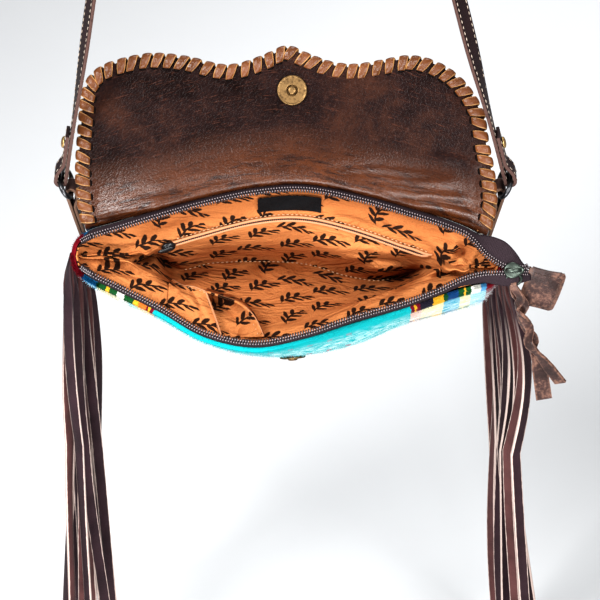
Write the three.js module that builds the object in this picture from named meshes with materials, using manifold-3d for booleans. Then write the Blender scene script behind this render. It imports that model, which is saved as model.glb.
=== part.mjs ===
// A flap bag in blanket cloth and leather, hanging from its long strap with the flap thrown back
// and the mouth unzipped.
// The root frame has +Z up and its origin under the top of the strap, where the strap hangs on a peg.
// The bag itself is drawn in its own frame: x across the bag, y up the raised flap, z out of the mouth.
import * as THREE from "three";
import { mergeVertices } from "three/addons/utils/BufferGeometryUtils.js";
import Module from "manifold-3d";

const wasm = await Module();
wasm.setup();

const vec = (x, y, z) => new THREE.Vector3(x, y, z);
const DEG = Math.PI / 180;

// Driving dimensions, in millimetres and degrees
const BAG_LEAN = 50; // the bag frame is turned this much about X, so the mouth looks up and forward
const STRAP_DROP = 608; // from the hanging point down to the wire that the strap is looped on
const HANG_OFFSET = 27; // the bag's middle lies this far to the right of the hanging point
const GAP = 0.3; // clearance between neighbouring pieces
const POUCH = { half: 126, depth: 160, widen: -0.04, dip: 5, seam: -3, seamSlope: -0.024 };
const WOOL = 2.5;
const LINING = 1.0;
const LEATHER = 2.5;
const FLAP = { root: 26, plane: -3, bendRadius: 11, endBendRadius: 4 };
const LACE = { wraps: 58, reach: 7, clear: 0.9, ridge: 1.5, valley: 0.7, slant: -0.35, startHeight: 25 };
const SNAP = { radius: 9, thickness: 2.4, x: 3, y: 98.5, studRadius: 2.6 };
const TAPE = { thickness: 0.9, inset: 1.2, rise: 7, endRise: 4, from: -112, to: 128.5 };
// How far each tape leans in from its rim, how far its sewn edge ends from the closed zipper's middle,
// and where along x it turns in to the slider.
const TAPE_SIDES = {
  front: { lean: 1.6, endOffset: 8.5, turnFrom: 88, turnTo: 127 },
  back: { lean: 1, endOffset: 14, turnFrom: 104, turnTo: 134 },
};
const TEETH = { radius: 1.2, endOffset: 2.6 };
const SLIDER = { x: 134.5, y: -8.5, z: 3.2, length: 10, width: 8, height: 4.5 };
const BAIL = { radius: 4.4, wire: 0.9 };
const END_TAB = { x: 151.5, y: -19.6, z: -9.3, width: 22, height: 28, thickness: 3.6, turn: -15 };
const PULL = { width: 5.5, thickness: 1.8 };
const RING = { left: -135.5, right: 133.5, y: 48, z: -18, wire: 1.5, span: 11, bar: 12, tilt: 32 };
const STRAP = { width: 12, thickness: 2.2, pegRadius: 12, foldBack: 34, nip: 14 };
const TAB = { width: 11, thickness: 2, length: 52, lean: 0.24 };
const RIVET = { radius: 3.6, height: 2, up: 26 };
const PATCH_LIFT = 1.1; // what is sewn on the slack lining stands this far off it
const LABEL = { from: -18, to: 21, top: 3, bottom: 15, thickness: 0.6 };
const POCKET_ZIP = { from: -66, to: 84, depth: 23, width: 3.2, thickness: 1.4 };
const SLIP_POCKET = { from: -70, to: -12, top: 24, bottom: 92, thickness: 1, gape: 13 };
const FRINGE = { strips: 12, length: 300, width: 6, thickness: 1.6, headReach: 4, headFrom: 8, headTo: 148 };

// The open mouth, from the left side seam to the right one: how far the back and front rims stand
// from the seam plane, and how much further the front wall swells below its rim.
const RIM = [
  { x: -126, back: 0, front: 0, belly: 0 },
  { x: -124.5, back: 6.5, front: 6, belly: 1 },
  { x: -119, back: 11.5, front: 11.5, belly: 2.5 },
  { x: -100, back: 18, front: 20.5, belly: 3.5 },
  { x: -75, back: 26.2, front: 32.4, belly: 2.5 },
  { x: -50, back: 33.8, front: 46, belly: 1.5 },
  { x: -20, back: 41, front: 51.8, belly: 3 },
  { x: 10, back: 43.7, front: 45.8, belly: 8 },
  { x: 40, back: 39, front: 35.4, belly: 11.5 },
  { x: 70, back: 31.2, front: 26, belly: 8 },
  { x: 100, back: 21.9, front: 14.5, belly: 10.5 },
  { x: 119, back: 12.9, front: 9, belly: 9 },
  { x: 124.5, back: 6, front: 5, belly: 3.5 },
  { x: 126, back: 0, front: 0, belly: 0 },
];
// The pouch from mouth to bottom: each wall's share of its rim's offset, for the blanket cloth
// and for the slack lining.
const SECTIONS = [
  { depth: 0, front: 1, belly: 0, back: 1, liningFront: 1, liningBack: 1 },
  { depth: 10, front: 1, belly: 0.45, back: 0.97, liningFront: 0.97, liningBack: 0.84 },
  { depth: 24, front: 1, belly: 0.9, back: 0.92, liningFront: 0.9, liningBack: 0.63 },
  { depth: 45, front: 0.98, belly: 1, back: 0.82, liningFront: 0.78, liningBack: 0.5 },
  { depth: 75, front: 0.86, belly: 0.9, back: 0.66, liningFront: 0.6, liningBack: 0.38 },
  { depth: 105, front: 0.63, belly: 0.6, back: 0.47, liningFront: 0.4, liningBack: 0.26 },
  { depth: 132, front: 0.37, belly: 0.3, back: 0.28, liningFront: 0.22, liningBack: 0.15 },
  { depth: 150, front: 0.17, belly: 0.1, back: 0.13, liningFront: 0.1, liningBack: 0.07 },
  { depth: 160, front: 0, belly: 0, back: 0, liningFront: 0, liningBack: 0 },
];
// The raised flap: half widths up its two sides, then its scalloped top edge across the width.
const FLAP_SIDES = [
  { y: 8, left: 118, right: 118 },
  { y: 18, left: 120.5, right: 120.5 },
  { y: 32, left: 123, right: 123 },
  { y: 50, left: 124, right: 121.5 },
  { y: 70, left: 123, right: 117.8 },
  { y: 90, left: 121.5, right: 115.6 },
  { y: 126, left: 120, right: 114 },
];
const FLAP_TOP = [
  { across: -1, y: 93 },
  { across: -0.985, y: 101 },
  { across: -0.95, y: 107.5 },
  { across: -0.9, y: 112 },
  { across: -0.82, y: 115.5 },
  { across: -0.67, y: 118.8 },
  { across: -0.5, y: 117 },
  { across: -0.31, y: 112 },
  { across: -0.2, y: 114 },
  { across: -0.1, y: 118.5 },
  { across: 0, y: 123.2 },
  { across: 0.1, y: 119 },
  { across: 0.22, y: 114 },
  { across: 0.35, y: 112.3 },
  { across: 0.48, y: 114.5 },
  { across: 0.62, y: 117.3 },
  { across: 0.72, y: 116 },
  { across: 0.82, y: 111 },
  { across: 0.9, y: 103.5 },
  { across: 0.96, y: 94 },
  { across: 1, y: 84 },
];

// Down and forward of the hanging bag, in the bag's frame
const DOWN = vec(0, 0, -1).applyAxisAngle(vec(1, 0, 0), -BAG_LEAN * DEG);
const FORWARD = vec(0, -1, 0).applyAxisAngle(vec(1, 0, 0), -BAG_LEAN * DEG);

// Smooth reading of a table column: a cubic through the rows with slopes from the neighbouring rows.
function read(table, key, at, column) {
  const last = table.length - 1;
  const place = Math.min(Math.max(at, table[0][key]), table[last][key]);
  let i = 0;
  while (i < last - 1 && place > table[i + 1][key]) i += 1;
  const slope = (a, b) => (table[b][column] - table[a][column]) / (table[b][key] - table[a][key]);
  const span = table[i + 1][key] - table[i][key];
  const t = (place - table[i][key]) / span;
  const m0 = slope(Math.max(i - 1, 0), i + 1) * span;
  const m1 = slope(i, Math.min(i + 2, last)) * span;
  const p0 = table[i][column];
  const p1 = table[i + 1][column];
  return (
    (2 * t ** 3 - 3 * t ** 2 + 1) * p0 +
    (t ** 3 - 2 * t ** 2 + t) * m0 +
    (3 * t ** 2 - 2 * t ** 3) * p1 +
    (t ** 3 - t ** 2) * m1
  );
}

const mix = (a, b, t) => a + (b - a) * t;
const smoothStep = (from, to, at) => THREE.MathUtils.smoothstep(at, from, to);
const range = (count) => Array.from({ length: count }, (_, i) => i);
// Evenly scattered numbers from 0 to 1, the same on every run.
const scatter = (i, stride) => (i * stride) % 1;

// A closed surface collected from sheets of points, then welded and turned to face out.
class Skin {
  constructor() {
    this.corners = [];
  }
  triangle(a, b, c) {
    const flat = a.distanceTo(b) < 1e-4 || b.distanceTo(c) < 1e-4 || c.distanceTo(a) < 1e-4;
    if (!flat) this.corners.push(a, b, c);
  }
  sheet(rows, flipped = false) {
    for (let r = 0; r + 1 < rows.length; r += 1) {
      for (let c = 0; c + 1 < rows[r].length; c += 1) {
        const quad = [rows[r][c], rows[r][c + 1], rows[r + 1][c + 1], rows[r + 1][c]];
        const [p, q, s, t] = flipped ? quad.reverse() : quad;
        this.triangle(p, q, s);
        this.triangle(p, s, t);
      }
    }
    return this;
  }
  cap(loop, flipped = false) {
    for (let i = 1; i + 1 < loop.length; i += 1) {
      if (flipped) this.triangle(loop[0], loop[i + 1], loop[i]);
      else this.triangle(loop[0], loop[i], loop[i + 1]);
    }
    return this;
  }
  geometry() {
    const welded = mergeVertices(new THREE.BufferGeometry().setFromPoints(this.corners), 1e-3);
    let volume = 0;
    for (let i = 0; i < this.corners.length; i += 3) {
      const [a, b, c] = this.corners.slice(i, i + 3);
      volume += a.dot(b.clone().cross(c));
    }
    if (volume < 0) welded.setIndex([...welded.index.array].reverse());
    return welded;
  }
}

// A wall between two sheets of points with the same rows and columns, closed round its four edges.
function wall(near, far) {
  const skin = new Skin().sheet(near, true).sheet(far);
  const last = near.length - 1;
  const side = (column) => [near.map((row) => row.at(column)), far.map((row) => row.at(column))];
  skin.sheet([near[0], far[0]]).sheet([near[last], far[last]], true);
  skin.sheet(side(0), true).sheet(side(-1));
  return skin.geometry();
}

// A flat strip along stations of { point, across }, where across is the strip's width direction.
function strip(stations, width, thickness) {
  const near = [];
  const far = [];
  stations.forEach(({ point, across, scale = 1 }, i) => {
    const before = stations[Math.max(i - 1, 0)].point;
    const after = stations[Math.min(i + 1, stations.length - 1)].point;
    const along = after.clone().sub(before).normalize();
    const wide = across.clone().addScaledVector(along, -across.dot(along)).normalize();
    const thick = along.clone().cross(wide);
    const edges = [-0.5, 0.5].map((s) => point.clone().addScaledVector(wide, s * width * scale));
    near.push(edges.map((p) => p.clone().addScaledVector(thick, -thickness / 2)));
    far.push(edges.map((p) => p.clone().addScaledVector(thick, thickness / 2)));
  });
  return wall(near, far);
}

// A round wire along points; upright gives the direction that the section's first corner keeps to.
function wire(points, upright, radius, sides, closed) {
  const count = points.length;
  const rings = points.map((point, i) => {
    const before = closed ? points[(i + count - 1) % count] : points[Math.max(i - 1, 0)];
    const after = closed ? points[(i + 1) % count] : points[Math.min(i + 1, count - 1)];
    const along = after.clone().sub(before).normalize();
    const out = upright.clone().addScaledVector(along, -upright.dot(along)).normalize();
    const aside = along.clone().cross(out);
    return range(sides + 1).map((k) => {
      const angle = ((k % sides) * 2 * Math.PI) / sides;
      const spoke = out.clone().multiplyScalar(Math.cos(angle)).addScaledVector(aside, Math.sin(angle));
      return point.clone().addScaledVector(spoke, radius);
    });
  });
  if (closed) return new Skin().sheet([...rings, rings[0]]).geometry();
  const skin = new Skin().sheet(rings);
  skin.cap(rings[0].slice(0, sides), true).cap(rings[count - 1].slice(0, sides));
  return skin.geometry();
}

// Boolean work on closed geometries
function solid(geometry) {
  const bare = geometry.index ? geometry.clone() : mergeVertices(geometry.clone());
  for (const name of Object.keys(bare.attributes)) if (name !== "position") bare.deleteAttribute(name);
  const welded = mergeVertices(bare, 1e-4);
  return new wasm.Manifold(
    new wasm.Mesh({
      numProp: 3,
      vertProperties: new Float32Array(welded.attributes.position.array),
      triVerts: new Uint32Array(welded.index.array),
    }),
  );
}
function faceted(manifold) {
  const mesh = manifold.getMesh();
  const geometry = new THREE.BufferGeometry();
  geometry.setAttribute("position", new THREE.BufferAttribute(new Float32Array(mesh.vertProperties), 3));
  geometry.setIndex([...mesh.triVerts]);
  return geometry;
}
const joined = (geometries) => faceted(geometries.map(solid).reduce((a, b) => a.add(b)));

// The pouch's walls
const seamY = (x) => POUCH.seam + POUCH.seamSlope * x;
const rimZ = (x) => -POUCH.dip * (1 - Math.min(1, (x / POUCH.half) ** 2));
const outward = { front: -1, back: 1 };

// A point of the cloth wall, from the mouth (depth 0) to the bottom seam; x is measured along the rim.
function clothPoint(side, x, depth) {
  const swell = side === "front" ? read(RIM, "x", x, "belly") * read(SECTIONS, "depth", depth, "belly") : 0;
  const offset = read(RIM, "x", x, side) * read(SECTIONS, "depth", depth, side) + swell;
  const wide = x * (1 + (POUCH.widen * depth) / POUCH.depth);
  const drop = rimZ(x) * (1 - depth / POUCH.depth);
  return vec(wide, seamY(wide) + outward[side] * (offset + GAP / 2), drop - depth);
}
function clothNormal(side, x, depth) {
  const atSeam = Math.abs(x) > POUCH.half - 0.01;
  const atBottom = depth > POUCH.depth - 0.01;
  if (atSeam || atBottom) return vec(atSeam ? Math.sign(x) : 0, 0, atBottom ? -1 : 0).normalize();
  const step = 0.5;
  const alongX = clothPoint(side, x + step, depth).sub(clothPoint(side, x - step, depth));
  const alongZ = clothPoint(side, x, depth + step).sub(clothPoint(side, x, Math.max(depth - step, 0)));
  const normal = alongX.cross(alongZ);
  if (depth === 0) normal.z = 0;
  normal.normalize();
  return normal.y * outward[side] < 0 ? normal.negate() : normal;
}
const clothOuter = (side, x, depth, over) =>
  clothPoint(side, x, depth).addScaledVector(clothNormal(side, x, depth), WOOL + over);

const COLUMNS = 20;
const stationX = range(COLUMNS + 1).map((c) => -POUCH.half * Math.cos((Math.PI * c) / COLUMNS));
const depths = SECTIONS.map((row) => row.depth);
const clothGrid = (point) => depths.map((depth) => stationX.map((x) => point(x, depth)));

function clothPanel(side) {
  const near = clothGrid((x, depth) => clothPoint(side, x, depth));
  const far = clothGrid((x, depth) => clothOuter(side, x, depth, 0));
  return wall(near, far);
}

// Everything inside the cloth's outer faces and a little beyond, used to trim what is sewn against the bag.
function pouchVolume() {
  const skin = new Skin();
  const grids = ["front", "back"].map((side) => clothGrid((x, depth) => clothOuter(side, x, depth, 2 * GAP)));
  const [front, back] = grids;
  const weld = (row, c) => front[row][c].clone().add(back[row][c]).multiplyScalar(0.5);
  front.forEach((row, r) => {
    for (const c of [0, COLUMNS]) front[r][c] = back[r][c] = weld(r, c);
    if (r === depths.length - 1) row.forEach((_, c) => (front[r][c] = back[r][c] = weld(r, c)));
  });
  skin.sheet(front).sheet(back, true).sheet([front[0], back[0]], true);
  return skin.geometry();
}

// The lining hangs slack inside: its walls fall away from the cloth, most of all towards the two sides.
function liningPoint(side, x, depth, inset) {
  const column = side === "front" ? "liningFront" : "liningBack";
  const slack = smoothStep(0, 26, depth);
  const fade = 1 - slack * Math.min(0.8, 1.25 * (x / POUCH.half) ** 2);
  const offset = read(RIM, "x", x, side) * read(SECTIONS, "depth", depth, column) * fade;
  const shrunk = offset ** 2 / (offset + inset + 1e-6);
  const scale = 1 - inset / POUCH.half;
  const wide = x * (1 + (POUCH.widen * depth) / POUCH.depth) * scale;
  const z = rimZ(x) * (1 - depth / POUCH.depth) - (depth * (POUCH.depth - inset)) / POUCH.depth;
  return vec(wide, seamY(wide) + outward[side] * shrunk, z);
}
function liningShell() {
  const [outer, inner] = [GAP, GAP + LINING].map((inset) =>
    ["front", "back"].map((side) => clothGrid((x, depth) => liningPoint(side, x, depth, inset))),
  );
  const skin = new Skin().sheet(outer[0]).sheet(outer[1], true).sheet(inner[0], true).sheet(inner[1]);
  skin.sheet([outer[0][0], inner[0][0]], true).sheet([outer[1][0], inner[1][0]]);
  return skin.geometry();
}

// A patch that lies on the lining's inner face; lift(a, b) raises it, with a and b from 0 to 1
// across and down.
function liningPatch(side, xs, depthAt, thickness, lift) {
  const grid = (extra) =>
    depthAt.map((depth, r) =>
      xs.map((x, c) => {
        const p = liningPoint(side, x, depth, GAP + LINING);
        const rise = PATCH_LIFT + extra + lift(c / (xs.length - 1), r / (depthAt.length - 1));
        return vec(p.x, p.y - outward[side] * rise, p.z);
      }),
    );
  return wall(grid(0), grid(thickness));
}
const spread = (from, to, steps) => range(steps + 1).map((i) => mix(from, to, i / steps));

// The flap's middle surface: sewn to the back wall, rolled forward, then straight up to its scalloped edge.
function flapRootY(x) {
  const heights = [0, 8, 16, 24].map((depth) => clothOuter("back", x, depth, 0).y);
  return Math.max(...heights) + GAP + LEATHER / 2 + 0.2;
}
const BEND_STEPS = [30, 60, 90];
const RISE_STEPS = spread(0, 1, 4).slice(1);
const FLAP_ROWS = 2 + BEND_STEPS.length + RISE_STEPS.length;

function flapPoint(across, row) {
  const halfAt = (y) => read(FLAP_SIDES, "y", y, across < 0 ? "left" : "right");
  const rootY = flapRootY(across * halfAt(0));
  const top = read(FLAP_TOP, "across", across, "y");
  const bendRadius = mix(FLAP.bendRadius, FLAP.endBendRadius, across ** 2);
  const bendZ = FLAP.plane - bendRadius;
  let y = rootY;
  let z = row === 0 ? -FLAP.root : bendZ;
  if (row >= 2) {
    const bend = Math.min(row - 2, BEND_STEPS.length - 1);
    const angle = BEND_STEPS[bend] * DEG;
    y = rootY + bendRadius * (1 - Math.cos(angle));
    z = bendZ + bendRadius * Math.sin(angle);
    if (row >= 2 + BEND_STEPS.length) y = mix(y, top, RISE_STEPS[row - 2 - BEND_STEPS.length]);
  }
  return vec(across * halfAt(y), y, z);
}
function flapNormal(across, row) {
  const low = Math.max(row - 1, 0);
  const high = Math.min(row + 1, FLAP_ROWS - 1);
  const up = flapPoint(across, high).sub(flapPoint(across, low));
  return vec(1, 0, 0).cross(up).normalize();
}
function flapSheet() {
  const acrosses = range(27).map((c) => Math.sin(((c / 26) * 2 - 1) * 90 * DEG));
  const grid = (offset) =>
    range(FLAP_ROWS).map((row) =>
      acrosses.map((across) => flapPoint(across, row).addScaledVector(flapNormal(across, row), offset)),
    );
  return wall(grid(-LEATHER / 2), grid(LEATHER / 2));
}

// The lacing: a channel over the flap's edge with one ridge for each turn of the lace, leaning the
// way the lace leans.
function flapEdge() {
  const top = FLAP_ROWS - 1;
  const rise = (across) => range(4).map((i) => flapPoint(across, top - 3 + i));
  const left = rise(-1).filter((p) => p.y > LACE.startHeight);
  const right = rise(1).filter((p) => p.y > LACE.startHeight).reverse();
  const crown = range(95).map((i) => flapPoint(Math.sin((((i + 1) / 96) * 2 - 1) * 90 * DEG), top));
  const low = read(FLAP_SIDES, "y", LACE.startHeight, "left");
  const foot = (side, p) => vec(side * low, LACE.startHeight, p.z);
  const points = [foot(-1, left[0]), ...left, ...crown, ...right, foot(1, right.at(-1))];
  return new THREE.CatmullRomCurve3(points, false, "chordal");
}
function lacing() {
  const edge = flapEdge();
  const stations = range(2 * LACE.wraps + 1).map((i) => {
    const at = i / (2 * LACE.wraps);
    const point = edge.getPointAt(at);
    const along = edge.getTangentAt(at);
    const inward = along.clone().cross(vec(0, 0, 1)).normalize();
    const thick = i % 2 ? LACE.ridge : LACE.valley;
    const inner = LEATHER / 2 + GAP;
    const outer = inner + thick;
    const lip = LACE.clear + thick;
    const corner = (into, up) =>
      point
        .clone()
        .addScaledVector(inward, into)
        .addScaledVector(along, into * LACE.slant)
        .add(vec(0, 0, up));
    return [
      corner(LACE.reach, outer), corner(-lip, outer), corner(-lip, -outer), corner(LACE.reach, -outer),
      corner(LACE.reach, -inner), corner(-LACE.clear, -inner), corner(-LACE.clear, inner),
      corner(LACE.reach, inner),
    ];
  });
  const loops = stations.map((loop) => [...loop, loop[0]]);
  const skin = new Skin().sheet(loops);
  for (const [loop, flipped] of [[stations[0], true], [stations.at(-1), false]]) {
    for (const [a, b, c, d] of [[0, 1, 6, 7], [1, 2, 5, 6], [2, 3, 4, 5]]) {
      skin.cap([loop[a], loop[b], loop[c], loop[d]], flipped);
    }
  }
  return skin.geometry();
}

// The two halves of the snap: turned discs, drawn about their own axis.
function turned(profile, sides) {
  return new THREE.LatheGeometry(profile.map(([r, h]) => new THREE.Vector2(r, h)), sides);
}
function snapSocket() {
  const { radius: r, thickness: t, studRadius: s } = SNAP;
  return turned([[0, 0], [r, 0], [r, t - 0.6], [r - 0.6, t], [s + 0.8, t], [s + 0.5, 0.8], [s, 0.8],
    [s, t - 0.5], [0, t - 0.3]], 20);
}
function snapPost() {
  const r = SNAP.radius - 1;
  return turned([[0, 0], [r, 0], [r, 0.8], [r - 0.5, 1.2], [3, 1.2], [2.8, 2.4], [0, 2.6]], 18);
}

// The main zipper, open: a tape and a row of teeth along each rim, running together at the slider.
function zipStation(side, x) {
  const { lean, endOffset, turnFrom, turnTo } = TAPE_SIDES[side];
  const close = smoothStep(turnFrom, turnTo, x);
  const rim = read(RIM, "x", Math.min(x, 118), side);
  const centre = mix(seamY(x), SLIDER.y, close);
  const root = mix(rim - TAPE.inset, endOffset, close);
  const teeth = mix(rim - TAPE.inset - lean, TEETH.endOffset, close);
  const foot = rimZ(Math.min(x, POUCH.half)) + 1;
  return {
    root: vec(x, centre + outward[side] * root, foot),
    edge: vec(x, centre + outward[side] * teeth, foot + mix(TAPE.rise, TAPE.endRise, close)),
  };
}
const zipXs = spread(TAPE.from, TAPE.to, 32);
function zipTape(side) {
  return strip(
    zipXs.map((x) => {
      const { root, edge } = zipStation(side, x);
      const across = edge.clone().sub(root);
      return { point: root.clone().add(edge).multiplyScalar(0.5), across, scale: across.length() };
    }),
    1,
    TAPE.thickness,
  );
}
function zipTeeth(side) {
  const points = zipXs.map((x) => {
    const { root, edge } = zipStation(side, x);
    const past = edge.clone().sub(root).normalize();
    return edge.clone().addScaledVector(past, TEETH.radius + 2 * GAP);
  });
  return wire(points, vec(0, 0, 1), TEETH.radius, 6, false);
}

function zipSlider() {
  const { x, y, z, length, width, height } = SLIDER;
  const body = new THREE.Shape();
  body.moveTo(-length / 2, -width / 2).lineTo(length * 0.2, -width / 2).lineTo(length / 2, -width / 4);
  body.lineTo(length / 2, width / 4).lineTo(length * 0.2, width / 2).lineTo(-length / 2, width / 2);
  body.closePath();
  const plate = new THREE.ExtrudeGeometry(body, { depth: height, bevelEnabled: false }).translate(x, y, z);
  const bail = wire(
    range(14).map((i) => {
      const angle = (i / 14) * 2 * Math.PI;
      const spoke = DOWN.clone().multiplyScalar(Math.cos(angle)).add(vec(Math.sin(angle), 0, 0));
      return bailCentre().addScaledVector(spoke, BAIL.radius);
    }),
    FORWARD, BAIL.wire, 6, true,
  );
  return joined([plate, bail]);
}
// The bail hangs from the slider's lower edge.
function bailCentre() {
  const { x, y, z, width, height } = SLIDER;
  return vec(x, y - width / 2 + 2.3, z + height - 1.2).addScaledVector(DOWN, BAIL.radius);
}

// The zip pull: a thong looped through the bail, its two ends twisted round each other once and left hanging.
function zipPull() {
  const hole = bailCentre().addScaledVector(DOWN, BAIL.radius);
  const reach = BAIL.wire + GAP + PULL.thickness / 2 + 0.2;
  const side = vec(0.93, -0.2, 0).normalize();
  const run = (sign, rows) =>
    rows.map(({ down, aside, front, turn, scale = 1 }) => ({
      scale,
      point: hole
        .clone()
        .addScaledVector(DOWN, down)
        .addScaledVector(vec(1, 0, 0), aside)
        .addScaledVector(FORWARD, sign * front),
      across: side.clone().applyAxisAngle(DOWN, turn * DEG),
    }));
  const first = run(1, [
    { down: -reach, aside: 0, front: 0, turn: 0, scale: 0.5 },
    { down: -0.75 * reach, aside: 0, front: 0.75 * reach, turn: 0, scale: 0.55 },
    { down: 0, aside: 0, front: reach, turn: 0, scale: 0.7 },
    { down: 14, aside: 5, front: 2.4, turn: 25 },
    { down: 30, aside: 6, front: 2, turn: 0 },
    { down: 44, aside: 14, front: 2.2, turn: -25 },
    { down: 52, aside: 15, front: 1.2, turn: -20 },
    { down: 60, aside: 22, front: 2, turn: 10, scale: 1.3 },
    { down: 75, aside: 31, front: 2.5, turn: 15, scale: 1.4 },
  ]);
  const second = run(-1, [
    { down: -reach, aside: 0, front: 0, turn: 0, scale: 0.5 },
    { down: -0.75 * reach, aside: 0, front: 0.75 * reach, turn: 0, scale: 0.55 },
    { down: 0, aside: 0, front: reach, turn: 0, scale: 0.7 },
    { down: 14, aside: 3, front: 1.2, turn: -20 },
    { down: 30, aside: 13, front: 1.2, turn: 10 },
    { down: 44, aside: 10, front: 1.2, turn: 20 },
    { down: 52, aside: 16, front: 0.2, turn: 10 },
    { down: 64, aside: 18.5, front: 1.5, turn: -6, scale: 1.6 },
    { down: 92, aside: 22.5, front: 2, turn: -4, scale: 1.75 },
  ]);
  return joined([first, second].map((stations) => strip(stations, PULL.width, PULL.thickness)));
}

// The zipper's tail ends in a folded leather tab.
function zipEndTab() {
  const { width, height, thickness } = END_TAB;
  const r = 1.5;
  const face = new THREE.Shape();
  face.moveTo(-width / 2 + r, -height / 2).lineTo(width / 2 - r, -height / 2);
  face.absarc(width / 2 - r, -height / 2 + r, r, -Math.PI / 2, 0).lineTo(width / 2, height / 2 - r);
  face.absarc(width / 2 - r, height / 2 - r, r, 0, Math.PI / 2).lineTo(-width / 2 + r, height / 2);
  face.absarc(-width / 2 + r, height / 2 - r, r, Math.PI / 2, Math.PI).lineTo(-width / 2, -height / 2 + r);
  face.absarc(-width / 2 + r, -height / 2 + r, r, Math.PI, 1.5 * Math.PI);
  return new THREE.ExtrudeGeometry(face, { depth: thickness, bevelEnabled: false, curveSegments: 3 });
}

// The fringe: strips that hang from a welt in each side seam.
function fringe(sign) {
  const seamX = (depth) => sign * (POUCH.half * (1 + (POUCH.widen * depth) / POUCH.depth) + WOOL + 2 * GAP);
  const headAt = (depth, reach, up) => {
    const x = seamX(depth) + sign * reach;
    return vec(x, seamY(x) + up, -depth);
  };
  const headRows = spread(FRINGE.headFrom, FRINGE.headTo, 4);
  const half = FRINGE.thickness / 2;
  const plate = (up) =>
    headRows.map((depth) => [0, FRINGE.headReach].map((reach) => headAt(depth, reach, up)));
  const pieces = [wall(plate(-half), plate(half))];
  const pitch = (FRINGE.headTo - FRINGE.headFrom) / FRINGE.strips;
  for (const i of range(FRINGE.strips)) {
    const root = headAt(FRINGE.headFrom + pitch * (i + 0.5), FRINGE.headReach - 1.2, 0);
    const drift = mix(-14, 16, scatter(i + 1, 0.618)) + (sign > 0 ? 17 : 2);
    const bow = mix(10, -1, i / (FRINGE.strips - 1));
    const turn = mix(38, 142, scatter(i + 3, 0.732));
    const swing = (t) => bow * Math.sin(Math.PI * Math.min(1, 2 * t)) + 2.5 * smoothStep(0, 0.03, t);
    const stations = [0, 0.03, 0.2, 0.45, 0.75, 1].map((t) => ({
      point: root
        .clone()
        .addScaledVector(DOWN, FRINGE.length * t)
        .add(vec(drift * t + sign * swing(t), 0, 0)),
      across: vec(0, 0, 1).applyAxisAngle(DOWN, sign * turn * smoothStep(0.03, 0.3, t) * DEG),
    }));
    pieces.push(strip(stations, FRINGE.width, FRINGE.thickness));
  }
  return joined(pieces);
}

// Colours and finishes
function finish(color, roughness, metalness = 0) {
  return new THREE.MeshStandardMaterial({ color, roughness, metalness });
}
const LOOKS = {
  flapLeather: finish("#4a2a1b", 0.5),
  laceLeather: finish("#9a5527", 0.55),
  fringeLeather: finish("#4a3231", 0.6),
  strapLeather: finish("#5b3b36", 0.55),
  tabLeather: finish("#5d3a2a", 0.6),
  blanket: finish("#12c3cc", 0.95),
  lining: finish("#c9722b", 0.9),
  label: finish("#0c0c0d", 0.7),
  zipTape: finish("#43343a", 0.85),
  zipTeeth: finish("#6b6366", 0.35, 0.8),
  gunmetal: finish("#4b5450", 0.35, 0.9),
  brass: finish("#a5834b", 0.4, 0.85),
};
function piece(name, geometry, look) {
  const mesh = new THREE.Mesh(geometry, LOOKS[look]);
  mesh.name = name;
  return mesh;
}

// The bag, in its own frame
const bag = new THREE.Group();
bag.rotation.x = BAG_LEAN * DEG;
const ringInBag = (x) => vec(x, RING.y, RING.z).applyAxisAngle(vec(1, 0, 0), BAG_LEAN * DEG);
bag.position.set(HANG_OFFSET, -ringInBag(0).y, -STRAP_DROP - ringInBag(0).z);

bag.add(piece("front_panel", clothPanel("front"), "blanket"));
bag.add(piece("back_panel", clothPanel("back"), "blanket"));
bag.add(piece("lining", liningShell(), "lining"));
bag.add(piece("flap", flapSheet(), "flapLeather"));
bag.add(piece("flap_lacing", lacing(), "laceLeather"));
for (const side of ["front", "back"]) {
  bag.add(piece(`zipper_tape_${side}`, zipTape(side), "zipTape"));
  bag.add(piece(`zipper_teeth_${side}`, zipTeeth(side), "zipTeeth"));
}
bag.add(piece("zipper_slider", zipSlider(), "gunmetal"));
bag.add(piece("zipper_pull", zipPull(), "tabLeather"));

const endTab = piece("zipper_end_tab", zipEndTab(), "tabLeather");
endTab.position.set(END_TAB.x, END_TAB.y, END_TAB.z).addScaledVector(FORWARD, -END_TAB.thickness / 2);
endTab.rotation.set((90 - BAG_LEAN) * DEG, 0, END_TAB.turn * DEG);
bag.add(endTab);

const socket = piece("snap_socket", snapSocket(), "brass");
socket.rotation.x = 90 * DEG;
socket.position.set(SNAP.x, SNAP.y, FLAP.plane + LEATHER / 2 + GAP);
bag.add(socket);

const SNAP_DEPTH = 40;
const post = piece("snap_post", snapPost(), "brass");
const postNormal = clothNormal("front", SNAP.x, SNAP_DEPTH);
post.quaternion.setFromUnitVectors(vec(0, 1, 0), postNormal);
post.position.copy(clothOuter("front", SNAP.x, SNAP_DEPTH, 2 * GAP));
bag.add(post);

const labelXs = spread(LABEL.from, LABEL.to, 6);
const labelRows = spread(LABEL.top, LABEL.bottom, 3);
const labelPatch = liningPatch("back", labelXs, labelRows, LABEL.thickness, () => 0);
bag.add(piece("label", labelPatch, "label"));

const zipPocketXs = spread(POCKET_ZIP.from, POCKET_ZIP.to, 24);
const zipPocketRows = [-0.5, 0.5].map((s) => POCKET_ZIP.depth + s * POCKET_ZIP.width);
const pocketChain = liningPatch("back", zipPocketXs, zipPocketRows, POCKET_ZIP.thickness, () => 0);
bag.add(piece("pocket_zipper", pocketChain, "zipTeeth"));

const pocketSlider = piece("pocket_slider", new THREE.BoxGeometry(9, 4.5, 4.5), "gunmetal");
pocketSlider.position.copy(liningPoint("back", POCKET_ZIP.from - 7, POCKET_ZIP.depth, GAP + LINING));
pocketSlider.position.y -= 4;
bag.add(pocketSlider);

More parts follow.
